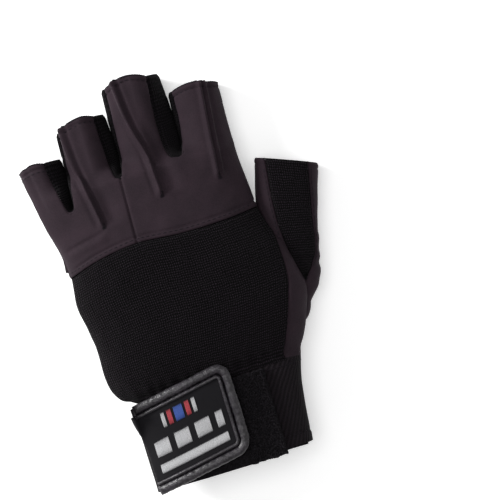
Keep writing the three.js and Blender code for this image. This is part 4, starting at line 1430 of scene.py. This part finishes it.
# Tab binding: a strip of thin leather rolled over the tab's edge and wrinkled by its turns, with a thin
# piping of the same leather inside it. One row of stitches lies in the groove between the two.
def binding_plan(inset):
    """The binding's path on the tab as places across and down from the strap's upper line."""
    radius = corner_radius - inset
    right = tab_end - inset
    left = strap_ulnar + 0.5
    low = strap_width - inset
    bend = [i * math.pi / 36 for i in range(1, 19)]
    bend = [(right - radius + radius * math.sin(a), radius * (1 - math.cos(a))) for a in bend]
    plan = [(mix(left, right - radius, s / 60), inset) for s in range(61)]
    plan += [(x, inset + down) for x, down in bend]
    plan += [(right, mix(inset + radius, low - radius, s / 30)) for s in range(1, 30)]
    plan += [(x, low - down) for x, down in reversed(bend)]
    plan += [(mix(right - radius, left, s / 60), low) for s in range(61)]
    return plan


def binding_line(inset, out):
    return [over_wrist(x, strap_top(x) - down, out) for x, down in binding_plan(inset)]


bound_leather = grained_leather("rolled_glove_leather", "#131014", "#343036", 0.0009, 0.28, 0.5, 0.9)


def roll_place(path, out, half_wide, half_high):
    """A round roll along a path of points that lie this far out over the cuff."""
    def place(s, v):
        i = round(v * (len(path) - 1))
        p = path[i]
        along = path[min(i + 1, len(path) - 1)] - path[max(i - 1, 0)]
        across = along.cross(Vector((0, 0, 1))).normalized()
        across.z = over_wrist(p.x + across.x, p.y + across.y, out).z - p.z
        angle = s * full_turn
        return p + across * half_wide * math.cos(angle) + Vector((0, 0, half_high * math.sin(angle)))
    return place


def roll_rise(p, notes):
    """Small pleats across the roll, crossed by slack."""
    pleat = math.sin(notes[0] * 1.6 + 3.0 * ripple(p, 5))
    return notes[1] * (0.06 * pleat + 0.24 * ripple(p, 7, 5.0) + 0.07 * ripple(p, 2.2, 1.0))


def leather_roll(name, inset, out, half_wide, half_high, around):
    """A closed roll round the tab, and its surface for the stitches."""
    step = 0.42
    path = even_points(binding_line(inset, out), step)
    length = step * len(path)
    roll = new_cloth()
    lay(
        roll, around, len(path) - 1, (12.0, length), roll_place(path, out, half_wide, half_high),
        lambda s, v: (v * length, half_high / (binding_thickness / 2), 0.0),
    )
    weld(roll, roll_weld)
    bmesh.ops.holes_fill(roll, edges=[e for e in roll.edges if e.is_boundary], sides=0)
    bmesh.ops.recalc_face_normals(roll, faces=roll.faces)
    relieve(roll, roll_rise)
    surface = BVHTree.FromBMesh(roll)
    return make_piece(name, roll, bound_leather), surface


roll_weld = 0.01
binding_half = binding_width / 2 - layer_gap
binding_high = binding_thickness / 2
tab_binding, edging_surface = leather_roll(
    "leather_binding", binding_half, tab_out + binding_high, binding_half + 0.25, binding_high, 40,
)
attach(tab_binding, "root")
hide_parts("tab_binding")

piping_half = 0.75
piping_inset = binding_width + piping_half - 0.1
piping, piping_surface = leather_roll(
    "inner_piping", piping_inset, tab_out + tab_thickness + 0.3, piping_half, piping_half, 16,
)
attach(piping, "root")

binding_stitches = bmesh.new()
stitch(
    binding_stitches, [edging_surface, piping_surface],
    binding_line(binding_width - 0.35, tab_out + tab_thickness + 0.5), *binding_stitch,
)
binding_seams = make_piece("binding_stitches", binding_stitches, dark_thread)
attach(binding_seams, "root")

size = {"cad": [list(corner) for corner in cad_box], "visual": [list(corner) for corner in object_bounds()]}
